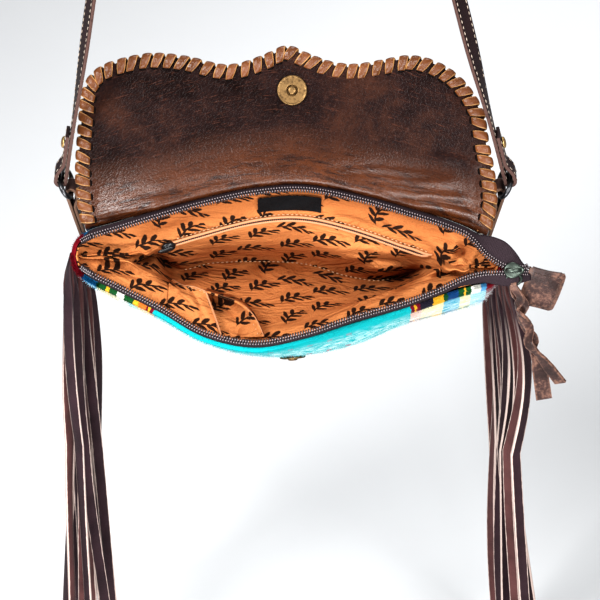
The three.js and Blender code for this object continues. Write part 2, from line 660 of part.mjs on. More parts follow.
const slipXs = spread(SLIP_POCKET.from, SLIP_POCKET.to, 10);
const slipRows = spread(SLIP_POCKET.top, SLIP_POCKET.bottom, 5);
const slipLift = (a, b) => SLIP_POCKET.gape * Math.sin(Math.PI * a) * (1 - b) ** 0.7;
const slipPatch = liningPatch("front", slipXs, slipRows, SLIP_POCKET.thickness, slipLift);
bag.add(piece("slip_pocket", slipPatch, "lining"));

bag.add(piece("fringe_left", fringe(-1), "fringeLeather"));
bag.add(piece("fringe_right", fringe(1), "fringeLeather"));

// Strap, rings and tabs, in the root frame: the strap lies in the plane y = 0 with its width along Y.
const acrossY = vec(0, 1, 0);
const inPlane = (point) => ({ point, across: acrossY });

// Stations of a strip round a wire, from its free tip to the far side; up is the way both legs leave.
function roundWire(centre, up, inner, radius, thickness, foldBack, nip) {
  const close = radius - thickness - GAP;
  const at = (along, aside) => centre.clone().addScaledVector(up, along).addScaledVector(inner, aside);
  const fold = [at(foldBack, close), at(nip, close), at(nip * 0.4, -radius * 0.95)];
  const bottom = range(7).map((i) => {
    const angle = Math.PI * (1 - i / 6);
    return at(-radius * Math.sin(angle), radius * Math.cos(angle));
  });
  return [...fold, ...bottom].map(inPlane);
}

function strapLeg(sign, ringX) {
  const loop = RING.wire + GAP + STRAP.thickness / 2 + 0.1;
  const peg = STRAP.pegRadius + STRAP.thickness / 2;
  const centre = vec(HANG_OFFSET + ringX, 0, -STRAP_DROP);
  const toPeg = vec(0, 0, -STRAP.pegRadius).sub(centre);
  const angle = Math.atan2(sign * -toPeg.x, toPeg.z) - Math.asin((loop + peg) / toPeg.length());
  const up = vec(-sign * Math.sin(angle), 0, Math.cos(angle));
  const inner = vec(-sign * Math.cos(angle), 0, -Math.sin(angle));
  const legLength = Math.sqrt(toPeg.lengthSq() - (loop + peg) ** 2);
  const stations = roundWire(centre, up, inner, loop, STRAP.thickness, STRAP.foldBack, STRAP.nip);
  const legStart = centre.clone().addScaledVector(inner, loop);
  for (const share of [0.25, 0.5, 0.75, 1]) {
    stations.push(inPlane(legStart.clone().addScaledVector(up, legLength * share)));
  }
  return { stations, up, inner, centre, angle };
}
const legs = { left: strapLeg(-1, RING.left), right: strapLeg(1, RING.right) };

function strapGeometry() {
  const radius = STRAP.pegRadius + STRAP.thickness / 2;
  const from = Math.PI - legs.left.angle;
  const to = legs.right.angle;
  const crown = range(9).slice(1, -1).map((i) => {
    const turn = mix(from, to, i / 8);
    return inPlane(vec(radius * Math.cos(turn), 0, radius * Math.sin(turn) - STRAP.pegRadius));
  });
  const stations = [...legs.left.stations, ...crown, ...[...legs.right.stations].reverse()];
  return strip(stations, STRAP.width, STRAP.thickness);
}

// A ring is an oval of wire: the strap hangs on its upper bar and the bag's tab on its lower bar.
function ringGeometry(sign, centre) {
  const rise = vec(sign * Math.sin(RING.tilt * DEG), 0, Math.cos(RING.tilt * DEG));
  const middle = centre.clone().addScaledVector(rise, -RING.span / 2);
  const end = (y, from) =>
    range(9).map((i) => {
      const turn = from + (Math.PI * i) / 8;
      const out = (Math.cos(turn) * RING.span) / 2;
      return middle.clone().add(vec(0, y + (Math.sin(turn) * RING.span) / 2, 0)).addScaledVector(rise, out);
    });
  const loop = [...end(RING.bar / 2, 0), ...end(-RING.bar / 2, Math.PI)];
  return wire(loop, rise.clone().cross(acrossY), RING.wire, 6, true);
}

// A tab runs from the bag's side up round the ring's lower bar; it is trimmed where it meets the cloth.
function tabGeometry(sign, centre) {
  const rise = vec(sign * Math.sin(RING.tilt * DEG), 0, Math.cos(RING.tilt * DEG));
  const bar = centre.clone().addScaledVector(rise, -RING.span);
  const loop = RING.wire + GAP + TAB.thickness / 2 + 0.1;
  const away = vec(-sign * TAB.lean, 0, -1).normalize();
  const outer = vec(-away.z, 0, away.x).multiplyScalar(sign);
  const stations = roundWire(bar, away, outer, loop, TAB.thickness, TAB.length * 0.5, STRAP.nip);
  stations.push(inPlane(bar.clone().addScaledVector(outer, loop).addScaledVector(away, TAB.length)));
  const trim = pouchVolume();
  bag.updateMatrix();
  trim.applyMatrix4(bag.matrix);
  return faceted(solid(strip(stations, TAB.width, TAB.thickness)).subtract(solid(trim)));
}

function rivetGeometry() {
  const { radius: r, height: h } = RIVET;
  return turned([[0, 0], [r, 0], [r, h * 0.3], [r * 0.8, h * 0.75], [r * 0.4, h], [0, h]], 16);
}

const wristlet = new THREE.Group();
wristlet.add(bag);
wristlet.add(piece("strap", strapGeometry(), "strapLeather"));
for (const [name, sign] of [["left", -1], ["right", 1]]) {
  const leg = legs[name];
  wristlet.add(piece(`strap_ring_${name}`, ringGeometry(sign, leg.centre), "gunmetal"));
  wristlet.add(piece(`ring_tab_${name}`, tabGeometry(sign, leg.centre), "tabLeather"));
  const rivet = piece(`strap_rivet_${name}`, rivetGeometry(), "brass");
  const loop = RING.wire + GAP + STRAP.thickness / 2 + 0.1;
  const face = loop - STRAP.thickness * 1.5 - 2 * GAP - 0.05;
  rivet.quaternion.setFromUnitVectors(vec(0, 1, 0), leg.inner.clone().negate());
  rivet.position.copy(leg.centre).addScaledVector(leg.up, RIVET.up).addScaledVector(leg.inner, face);
  wristlet.add(rivet);
}

export default wristlet;
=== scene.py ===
"""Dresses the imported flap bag: blanket walls, laced flap, open zipper, slack lining, strap and fringe.

The bag hangs open from the top of its strap. Shapes are worked out in millimetres, most of them in the bag's
own frame, with x across the bag, y up the raised flap and z out of the mouth. bag() brings those into the
root frame, in metres. The strap, its rings and their tabs are drawn in the root frame."""

import math
from collections import namedtuple

import bmesh
import bpy
import numpy as np
from bpy.props import FloatProperty, FloatVectorProperty, IntProperty, PointerProperty
from mathutils import Matrix, Vector, noise


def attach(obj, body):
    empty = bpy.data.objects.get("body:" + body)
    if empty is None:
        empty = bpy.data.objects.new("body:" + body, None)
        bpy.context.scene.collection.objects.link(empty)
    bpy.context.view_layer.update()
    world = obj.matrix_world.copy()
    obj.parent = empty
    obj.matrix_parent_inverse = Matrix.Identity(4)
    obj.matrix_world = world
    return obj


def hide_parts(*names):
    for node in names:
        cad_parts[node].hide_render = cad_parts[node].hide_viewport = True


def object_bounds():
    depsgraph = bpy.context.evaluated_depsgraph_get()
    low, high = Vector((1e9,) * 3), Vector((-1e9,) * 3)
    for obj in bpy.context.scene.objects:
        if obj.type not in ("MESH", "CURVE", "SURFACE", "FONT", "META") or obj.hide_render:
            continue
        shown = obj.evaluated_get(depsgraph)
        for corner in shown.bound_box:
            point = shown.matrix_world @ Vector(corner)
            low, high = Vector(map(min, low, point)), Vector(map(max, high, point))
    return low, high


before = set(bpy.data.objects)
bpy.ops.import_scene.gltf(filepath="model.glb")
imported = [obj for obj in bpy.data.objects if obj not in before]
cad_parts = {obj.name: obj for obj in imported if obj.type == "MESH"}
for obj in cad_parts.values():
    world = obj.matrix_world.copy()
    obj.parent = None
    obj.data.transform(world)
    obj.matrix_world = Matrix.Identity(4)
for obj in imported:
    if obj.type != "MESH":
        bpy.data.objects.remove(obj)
CAD_BOX = [list(corner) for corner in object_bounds()]

bl_info = {
    "name": "Laced flap bag",
    "version": (1, 0, 0),
    "blender": (4, 5, 0),
    "location": "View3D > Sidebar > Flap bag",
    "description": "Builds the looks of a hanging flap bag on its packed solids",
    "category": "Object",
}

MM = 0.001

# The frame that the solids were drawn in, and their main sizes, in millimetres
HANG_OFFSET = 27
STRAP_DROP = 608
RING_X = {-1: -135.5, 1: 133.5}
RING_WIRE = 1.5
RING_SPAN = 11
RING_BAR = 12
RING_TILT = math.radians(32)
BAG_TURN = Matrix.Rotation(math.radians(50), 3, "X")
RING_REST = BAG_TURN @ Vector((0, 48, -18))
BAG_ORIGIN = Vector((HANG_OFFSET, -RING_REST.y, -STRAP_DROP - RING_REST.z))
DOWN = BAG_TURN.transposed() @ Vector((0, 0, -1))
FORWARD = BAG_TURN.transposed() @ Vector((0, -1, 0))

GAP = 0.3
HALF = 126
DEPTH = 160
NARROWING = 0.04
RIM_DIP = 5
SEAM_Y = -3
SEAM_SLOPE = -0.024
WOOL = 2.5
LEATHER = 2.5
FLAP_PLANE = -3
FLAP_ROOT = 26
FLAP_BEND = 11
FLAP_END_BEND = 4
SNAP_X = 3
SNAP_Y = 98.5
SNAP_DEPTH = 40
SLIDER = Vector((134.5, -8.5, 3.2))
BAIL_RADIUS = 4.4
BAIL_WIRE = 0.95
STRAP_THICKNESS = 2.2
STRAP_LOOP = RING_WIRE + GAP + STRAP_THICKNESS / 2 + 0.1
STRAP_CLOSE = STRAP_LOOP - STRAP_THICKNESS - GAP
PEG_RADIUS = 12
PEG_LOOP = PEG_RADIUS + STRAP_THICKNESS / 2
RIVET_UP = 26
RIVET_RADIUS = 3.6
RIVET_HEIGHT = 2.0
TAB_WIDTH = 11
TAB_THICKNESS = 2

# Half the width of cloth that the blanket's stripes are drawn on, in metres
CLOTH_HALF = 0.14
# The share of its depth that the lining is gathered up by, at its middle and at its ends
GATHER_MIDDLE = 0.4
GATHER_ENDS = 0.84
# Roughly square to the lining's back, towards the mouth
LINING_FACE = Vector((0, -0.6, 0.8))

# How far each wall stands out from the seam plane along the rim, and how the front wall swells below it
Rim = namedtuple("Rim", "x back front belly")
RIM = [
    Rim(-HALF, 0, 0, 0),
    Rim(-124.5, 6.5, 6, 1),
    Rim(-119, 11.5, 11.5, 2.5),
    Rim(-100, 18, 20.5, 3.5),
    Rim(-75, 26.2, 32.4, 2.5),
    Rim(-50, 33.8, 46, 1.5),
    Rim(-20, 41, 51.8, 3),
    Rim(10, 43.7, 45.8, 8),
    Rim(40, 39, 35.4, 11.5),
    Rim(70, 31.2, 26, 8),
    Rim(100, 21.9, 14.5, 10.5),
    Rim(119, 12.9, 9, 9),
    Rim(124.5, 6, 5, 3.5),
    Rim(HALF, 0, 0, 0),
]
# From mouth to bottom, each wall's share of its rim's offset, for the cloth and for the lining
Section = namedtuple("Section", "depth front belly back lining_front lining_back")
SECTIONS = [
    Section(0, 1, 0, 1, 1, 1),
    Section(10, 1, 0.45, 0.97, 0.97, 0.84),
    Section(24, 1, 0.9, 0.92, 0.9, 0.63),
    Section(45, 0.98, 1, 0.82, 0.78, 0.5),
    Section(75, 0.86, 0.9, 0.66, 0.6, 0.38),
    Section(105, 0.63, 0.6, 0.47, 0.4, 0.26),
    Section(132, 0.37, 0.3, 0.28, 0.22, 0.15),
    Section(150, 0.17, 0.1, 0.13, 0.1, 0.07),
    Section(DEPTH, 0, 0, 0, 0, 0),
]
# The flap's half widths up its height
FlapSide = namedtuple("FlapSide", "y left right")
FLAP_SIDES = [
    FlapSide(8, 118, 118),
    FlapSide(18, 120.5, 120.5),
    FlapSide(32, 123, 123),
    FlapSide(50, 124, 121.5),
    FlapSide(70, 123, 117.8),
    FlapSide(90, 121.5, 115.6),
    FlapSide(126, 120, 114),
]
# The height of the flap's scalloped edge, from its left side at -1 to its right side at 1
FlapTop = namedtuple("FlapTop", "across y")
FLAP_TOP = [
    FlapTop(-1, 93),
    FlapTop(-0.985, 101),
    FlapTop(-0.95, 107.5),
    FlapTop(-0.9, 112),
    FlapTop(-0.82, 115.5),
    FlapTop(-0.67, 118.8),
    FlapTop(-0.5, 117),
    FlapTop(-0.31, 112),
    FlapTop(-0.2, 114),
    FlapTop(-0.1, 118.5),
    FlapTop(0, 123.2),
    FlapTop(0.1, 119),
    FlapTop(0.22, 114),
    FlapTop(0.35, 112.3),
    FlapTop(0.48, 114.5),
    FlapTop(0.62, 117.3),
    FlapTop(0.72, 116),
    FlapTop(0.82, 111),
    FlapTop(0.9, 103.5),
    FlapTop(0.96, 94),
    FlapTop(1, 84),
]
# Folds, as lines across the surface seen from in front of the mouth: points (x, y), half width and height
Fold = namedtuple("Fold", "points width height")
LINING_FOLDS = [
    Fold(((-117, 3), (-97, 0), (-78, -5)), 3.5, -5),
    Fold(((-117, -1), (-100, -3), (-84, -7)), 3.5, 5),
    Fold(((-117, -5), (-103, -7), (-88, -11), (-78, -17)), 3.5, -6),
    Fold(((-110, -13), (-95, -15), (-82, -20)), 4, 4),
    Fold(((-112, 8), (-92, 9), (-78, 6)), 4, 4),
    Fold(((-92, 12), (-72, 19), (-52, 25)), 3.5, -3.5),
    Fold(((-88, 16), (-66, 24), (-48, 28)), 3.5, 3),
    Fold(((-60, 12), (-40, 20), (-22, 26)), 3, 2.5),
    Fold(((24, 31), (44, 24), (62, 15), (80, 8)), 4, 4),
    Fold(((30, 26), (50, 18), (70, 10)), 3, -4),
    Fold(((55, 25), (75, 16), (95, 9)), 3.5, 4),
    Fold(((52, 22), (72, 12), (88, 5)), 2.5, -3),
    Fold(((80, 17), (98, 10), (110, 3)), 3.5, -4),
    Fold(((114, -3), (98, -4), (86, -6), (79, -12)), 4.5, 12),
    Fold(((112, 2), (100, 1), (88, 2), (82, 0)), 3, -7),
    Fold(((110, -8), (96, -10), (84, -15)), 3, -6),
    Fold(((106, 8), (92, 7), (80, 4)), 3.5, 6),
    Fold(((100, -12), (80, -19), (60, -27), (36, -38)), 3, 4),
    Fold(((-46, 4), (-20, 10), (10, 8), (36, 0)), 5, 3),
    Fold(((10, 14), (30, 6), (52, -4), (70, -10)), 4, 4),
    Fold(((-30, -8), (-5, -4), (18, -12)), 5, -3),
    Fold(((-6, -46), (20, -42), (44, -32)), 3, 5),
    Fold(((101, 13), (97.5, 0), (92, -7)), 2.6, 6),
    Fold(((116, 8), (107, -3), (100, -8)), 2.4, 5),
    Fold(((88, -6), (74, -13), (60, -24)), 4.5, -9),
    Fold(((92, 3), (60, 4), (20, 10)), 2.5, 3.5),
    Fold(((90, -1), (55, -2), (15, -5)), 2.6, -3.5),
    Fold(((-113, 6), (-97, 6), (-82, 8)), 2.4, -4),
    Fold(((-100, -3), (-88, -11), (-73, -20)), 2.6, 5),
    Fold(((-80, 2), (-75, -6), (-70, -16)), 3.2, -8),
    Fold(((-86, 8), (-82, 0), (-79, -8)), 2.6, 6),
]
FLAP_FOLDS = [
    Fold(((52, 47), (80, 42), (112, 33)), 2.2, 0.9),
    Fold(((60, 42), (90, 36), (116, 27)), 2, -0.8),
    Fold(((40, 55), (75, 50), (108, 43)), 2.6, 0.8),
    Fold(((70, 37), (95, 30), (115, 22)), 1.8, 0.8),
    Fold(((20, 58), (55, 57), (95, 51)), 3, -0.7),
    Fold(((-110, 26), (-80, 33), (-50, 41)), 3, 0.7),
    Fold(((-100, 38), (-60, 47), (-20, 54)), 3.5, -0.6),
    Fold(((85, 60), (105, 56), (116, 50)), 2.5, 0.7),
]


def mix(a, b, t):
    """The value a share t of the way from a to b."""
    return a + (b - a) * t


def smooth_step(low, high, at):
    """Goes smoothly from 0 at low to 1 at high, either of which may be the larger."""
    t = min(1.0, max(0.0, (at - low) / (high - low)))
    return t * t * (3 - 2 * t)


def scatter(i, stride):
    """Evenly scattered numbers from 0 to 1."""
    return (i * stride) % 1.0


def read(table, at, column):
    """A table's column at any place along its first one, on a smooth line through the rows."""
    last = len(table) - 1
    at = min(max(at, table[0][0]), table[last][0])
    i = 0
    while i < last - 1 and at > table[i + 1][0]:
        i += 1
    values = [getattr(row, column) for row in table[max(i - 1, 0) : min(i + 2, last) + 1]]
    places = [row[0] for row in table[max(i - 1, 0) : min(i + 2, last) + 1]]
    k = 0 if i == 0 else 1
    span = places[k + 1] - places[k]
    t = (at - places[k]) / span
    m0 = (values[k + 1] - values[0]) / (places[k + 1] - places[0]) * span
    m1 = (values[-1] - values[k]) / (places[-1] - places[k]) * span
    return (
        (2 * t**3 - 3 * t**2 + 1) * values[k]
        + (t**3 - 2 * t**2 + t) * m0
        + (3 * t**2 - 2 * t**3) * values[k + 1]
        + (t**3 - t**2) * m1
    )


def bag(point):
    """A point of the bag's frame, in millimetres, brought into the root frame in metres."""
    return (BAG_ORIGIN + BAG_TURN @ Vector(point)) * MM


def fold_height(folds, x, y):
    """How far the folds raise the surface at (x, y), in millimetres."""
    total = np.zeros_like(x)
    for fold in folds:
        nearest = np.full_like(x, 1e9)
        along = np.zeros_like(x)
        count = len(fold.points) - 1
        for i in range(count):
            (ax, ay), (bx, by) = fold.points[i], fold.points[i + 1]
            dx, dy = bx - ax, by - ay
            t = np.clip(((x - ax) * dx + (y - ay) * dy) / (dx * dx + dy * dy), 0, 1)
            gap = np.hypot(x - ax - t * dx, y - ay - t * dy)
            along = np.where(gap < nearest, (i + t) / count, along)
            nearest = np.minimum(gap, nearest)
        ends = np.clip(np.sin(np.pi * np.clip(along, 0.04, 0.96)) * 1.6, 0, 1)
        total += fold.height * ends * np.exp(-((nearest / fold.width) ** 2))
    return total


# Shapes of the walls, the lining and the flap
OUTWARD = {"front": -1, "back": 1}


def seam_y(x):
    """The y of the plane where the two walls are sewn together."""
    return SEAM_Y + SEAM_SLOPE * x


def rim_z(x):
    """The height of the rim, which dips in the middle."""
    return -RIM_DIP * (1 - min(1.0, (x / HALF) ** 2))


def narrowed(depth):
    """The share of the pouch's width that is left at a depth."""
    return 1 - NARROWING * depth / DEPTH


def cloth_point(side, x, depth):
    """A point of a wall's inner face, at x along the rim and a depth below it."""
    offset = read(RIM, x, side) * read(SECTIONS, depth, side)
    if side == "front":
        offset += read(RIM, x, "belly") * read(SECTIONS, depth, "belly")
    wide = x * narrowed(depth)
    y = seam_y(wide) + OUTWARD[side] * (offset + GAP / 2)
    return Vector((wide, y, rim_z(x) * (1 - depth / DEPTH) - depth))


def cloth_normal(side, x, depth):
    """The direction out of a wall."""
    if abs(x) > HALF - 0.5:
        return Vector((math.copysign(1, x), 0, 0))
    if depth > DEPTH - 0.5:
        return Vector((0, 0, -1))
    along_x = cloth_point(side, x + 0.4, depth) - cloth_point(side, x - 0.4, depth)
    along_z = cloth_point(side, x, depth + 0.4) - cloth_point(side, x, max(depth - 0.4, 0))
    normal = along_x.cross(along_z)
    if depth < 0.01:
        normal.z = 0
    normal.normalize()
    return -normal if normal.y * OUTWARD[side] < 0 else normal


def cloth_outer(side, x, depth, over):
    """A point a distance over a wall's outer face."""
    return cloth_point(side, x, depth) + cloth_normal(side, x, depth) * (WOOL + over)


# How far the lining's bottom strays towards the front or the back along its length
Crease = namedtuple("Crease", "x y")
LINING_BOTTOM = [
    Crease(-HALF, 0),
    Crease(-115, 3),
    Crease(-100, -4),
    Crease(-85, 2),
    Crease(-70, -5),
    Crease(-50, -1),
    Crease(-6, 0),
    Crease(15, -1.5),
    Crease(37, -7),
    Crease(60, -9),
    Crease(95, 0),
    Crease(HALF, 0),
]


def lining_point(side, x, depth, inset):
    """A point of the slack lining before its folds, drawn in from the walls by the inset."""
    slack = smooth_step(0, 26, depth)
    fade = 1 - slack * min(0.8, 1.25 * (x / HALF) ** 2)
    offset = read(RIM, x, side) * read(SECTIONS, depth, "lining_" + side) * fade
    offset = offset**2 / (offset + inset + 1e-6)
    wide = x * narrowed(depth) * (1 - inset / HALF)
    gather = mix(GATHER_MIDDLE, GATHER_ENDS, smooth_step(66, 112, abs(x))) * smooth_step(4, 40, depth)
    sunk = depth * (1 - gather)
    drift = read(LINING_BOTTOM, x, "y") * smooth_step(25, 90, depth) * smooth_step(DEPTH, 115, sunk)
    y = seam_y(wide) + OUTWARD[side] * offset + drift * smooth_step(HALF, 112, abs(x))
    return Vector((wide, y, rim_z(x) * (1 - depth / DEPTH) - sunk * (DEPTH - inset) / DEPTH))


def lining_surface(places, inset):
    """Points of the slack lining, folds and ripples and all: places holds (side, x, depth)."""
    points = np.array([lining_point(side, x, depth, inset) for side, x, depth in places])
    depth = np.array([place[2] for place in places])
    free = np.clip(depth / 12, 0, 1) * np.clip((DEPTH - depth) / 60, 0, 1)
    beside_zip = np.clip((96 - np.abs(points[:, 0] - 8)) / 12, 0, 1)
    zipped = np.clip((depth - 12) / 5, 0, 1) * np.clip((36 - depth) / 5, 0, 1) * beside_zip
    free *= 1 - 0.85 * zipped * np.array([side == "back" for side, _, _ in places])
    raised = fold_height(LINING_FOLDS, points[:, 0], points[:, 1]) * free
    waves = [noise.noise(Vector((x * 0.05, y * 0.11, z * 0.05))) for x, y, z in points]
    ripple = np.array(waves) * 1.3 * free
    inward = np.array([1.0 if side == "front" else -1.0 for side, _, _ in places])
    points[:, 2] += raised + ripple
    points[:, 1] += inward * np.clip(raised, 0, 99) * 0.35
    return points


def lining_line(side, start, end, depth, lift, steps):
    """A line along the lining at one depth, lifted off its surface towards the mouth."""
    xs = [mix(start, end, i / steps) for i in range(steps + 1)]
    at = lining_surface([(side, x, depth) for x in xs], 1.2)
    below = lining_surface([(side, x, depth + 1.5) for x in xs], 1.2)
    line = []
    for i in range(steps + 1):
        along = Vector(at[min(i + 1, steps)] - at[max(i - 1, 0)])
        normal = along.cross(Vector(below[i] - at[i])).normalized()
        line.append(Vector(at[i]) + (normal if normal.z > 0 else -normal) * lift)
    return line


def flap_half(across, y):
    """The flap's half width at a height, on the side that across is on."""
    return read(FLAP_SIDES, y, "left" if across < 0 else "right")


def flap_root_y(x):
    """Where the middle of the flap's leather lies behind the back wall."""
    return max(cloth_outer("back", x, depth, 0).y for depth in (0, 8, 16, 24)) + 0.5 + LEATHER / 2


def flap_point(across, up, root_y=None):
    """The flap's middle surface: across from -1 to 1, up from 0 at the seam to 1 at the free edge."""
    if root_y is None:
        root_y = flap_root_y(across * flap_half(across, 0))
    top = read(FLAP_TOP, across, "y")
    bend = mix(FLAP_BEND, FLAP_END_BEND, across**2)
    start_z = FLAP_PLANE - bend
    run = FLAP_ROOT + start_z
    arc = bend * math.pi / 2
    rise = top - root_y - bend
    at = up * (run + arc + rise)
    if at < run:
        y, z = root_y, -FLAP_ROOT + at
    elif at < run + arc:
        angle = (at - run) / bend
        y, z = root_y + bend * (1 - math.cos(angle)), start_z + bend * math.sin(angle)
    else:
        y, z = root_y + bend + at - run - arc, FLAP_PLANE
    return Vector((across * flap_half(across, y), y, z))


# Lines
def lengths_along(points):
    """The distance from the first point to each of the points, along the line through them."""
    lengths = [0.0]
    for p, q in zip(points, points[1:]):
        lengths.append(lengths[-1] + (q - p).length)
    return lengths


def along_line(points, lengths, at):
    """The point and direction at a distance along a line of points."""
    at = min(max(at, 0.0), lengths[-1])
    i = int(np.searchsorted(lengths, at, side="right")) - 1
    i = min(max(i, 0), len(points) - 2)
    t = (at - lengths[i]) / max(lengths[i + 1] - lengths[i], 1e-9)
    low, high = max(i - 2, 0), min(i + 3, len(points) - 1)
    return points[i].lerp(points[i + 1], t), (points[high] - points[low]).normalized()


def curve(points, t):
    """A place on the smooth line through the points, with t from 0 to 1."""
    at = min(max(t, 0.0), 1.0) * (len(points) - 1)
    i = min(int(at), len(points) - 2)
    t = at - i
    p = [Vector(points[min(max(j, 0), len(points) - 1)]) for j in (i - 1, i, i + 1, i + 2)]
    return 0.5 * (
        2 * p[1]
        + (p[2] - p[0]) * t
        + (2 * p[0] - 5 * p[1] + 4 * p[2] - p[3]) * t * t
        + (3 * p[1] - p[0] - 3 * p[2] + p[3]) * t**3
    )


# Mesh helpers
def lay_grid(bm, columns, rows, place, uv_size=(1.0, 1.0)):
    """Adds a grid whose vertices are moved to place(a, b), with a across and b along, both from 0 to 1."""
    uv = bm.loops.layers.uv.verify()
    verts = bmesh.ops.create_grid(bm, x_segments=columns, y_segments=rows, size=0.5)["verts"]
    spots = {v: (v.co.x + 0.5, v.co.y + 0.5) for v in verts}
    for face in {f for v in verts for f in v.link_faces}:
        face.smooth = True
        for loop in face.loops:
            a, b = spots[loop.vert]
            loop[uv].uv = (a * uv_size[0], b * uv_size[1])
    for v, (a, b) in spots.items():
        v.co = place(a, b)
    return verts


def turned_to(centre, along, across, size):
    """The matrix that gives a unit shape its length along, its width across and its place."""
    along = along.normalized()
    up = along.cross(across).normalized()
    turn = Matrix((along, up.cross(along), up)).transposed().to_4x4()
    return Matrix.Translation(centre) @ turn @ Matrix.Diagonal((*size, 1))


def lay_bead(bm, centre, along, across, size):
    """Adds a small rounded bead, such as a stitch: size is its length, width and height in metres."""
    place = turned_to(centre, along, across, [s / 2 for s in size])
    verts = bmesh.ops.create_icosphere(bm, subdivisions=1, radius=1, matrix=place)["verts"]
    for face in {f for v in verts for f in v.link_faces}:
        face.smooth = True


def lay_block(bm, centre, along, across, size):
    """Adds a block of length, width and height, turned to the given directions."""
    bmesh.ops.create_cube(bm, size=1, matrix=turned_to(centre, along, across, size))


def lay_turned(bm, profile, centre, axis, segments):
    """Spins a profile of (radius, height) in millimetres into an empty mesh, about the axis at centre."""
    verts = [bm.verts.new((radius * MM, 0, height * MM)) for radius, height in profile]
    edges = [bm.edges.new(pair) for pair in zip(verts, verts[1:])]
    whole = {"cent": (0, 0, 0), "axis": (0, 0, 1), "angle": 2 * math.pi, "use_merge": True}
    bmesh.ops.spin(bm, geom=verts + edges, steps=segments, **whole)
    bmesh.ops.remove_doubles(bm, verts=bm.verts[:], dist=1e-6)
    bmesh.ops.recalc_face_normals(bm, faces=bm.faces[:])
    for face in bm.faces:
        face.smooth = True
    turn = Vector((0, 0, 1)).rotation_difference(axis).to_matrix().to_4x4()
    bmesh.ops.transform(bm, matrix=Matrix.Translation(centre) @ turn, verts=bm.verts[:])


def lay_cord(bm, line, radius):
    """Adds a thin round cord along a line of the bag's frame, drawn in to a point at both ends."""
    steps = len(line) - 1

    def place(a, b):
        i = round(b * steps)
        along = (line[min(i + 1, steps)] - line[max(i - 1, 0)]).normalized()
        aside = along.cross(LINING_FACE).normalized()
        spin = 2 * math.pi * a
        taper = math.sqrt(max(0.0, 1 - (2 * b - 1) ** 40))
        spoke = aside * math.cos(spin) + aside.cross(along) * math.sin(spin)
        return bag(line[i] + spoke * radius * taper)

    lay_grid(bm, 8, steps, place, (0.004, 0.16))


def make_piece(name, bm, finish, nodes=(), weld=False):
    """Turns a bmesh into a finished piece that rides on the bag and stands for the named solids."""
    if weld:
        bmesh.ops.remove_doubles(bm, verts=bm.verts, dist=2e-6)
    mesh = bpy.data.meshes.new(f"{name}_look")
    bm.to_mesh(mesh)
    bm.free()
    mesh.materials.append(finish)
    obj = bpy.data.objects.new(f"{name}_look", mesh)
    bpy.context.scene.collection.objects.link(obj)
    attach(obj, "root")
    if nodes:
        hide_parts(*nodes)
    return obj


def thicken(obj, thickness, offset=0.0):
    """Gives a sheet its thickness, to both sides unless an offset says otherwise."""
    wall = obj.modifiers.new("Thickness", "SOLIDIFY")
    wall.thickness = thickness
    wall.offset = offset


def round_edges(obj, width, segments=2):
    """Rounds the sharp edges."""
    bevel = obj.modifiers.new("Edges", "BEVEL")
    bevel.width = width
    bevel.segments = segments
    bevel.limit_method = "ANGLE"
    bevel.angle_limit = math.radians(50)


def subdivide(obj):
    """Smooths a piece by one level."""
    smooth = obj.modifiers.new("Smooth", "SUBSURF")
    smooth.levels = smooth.render_levels = 1


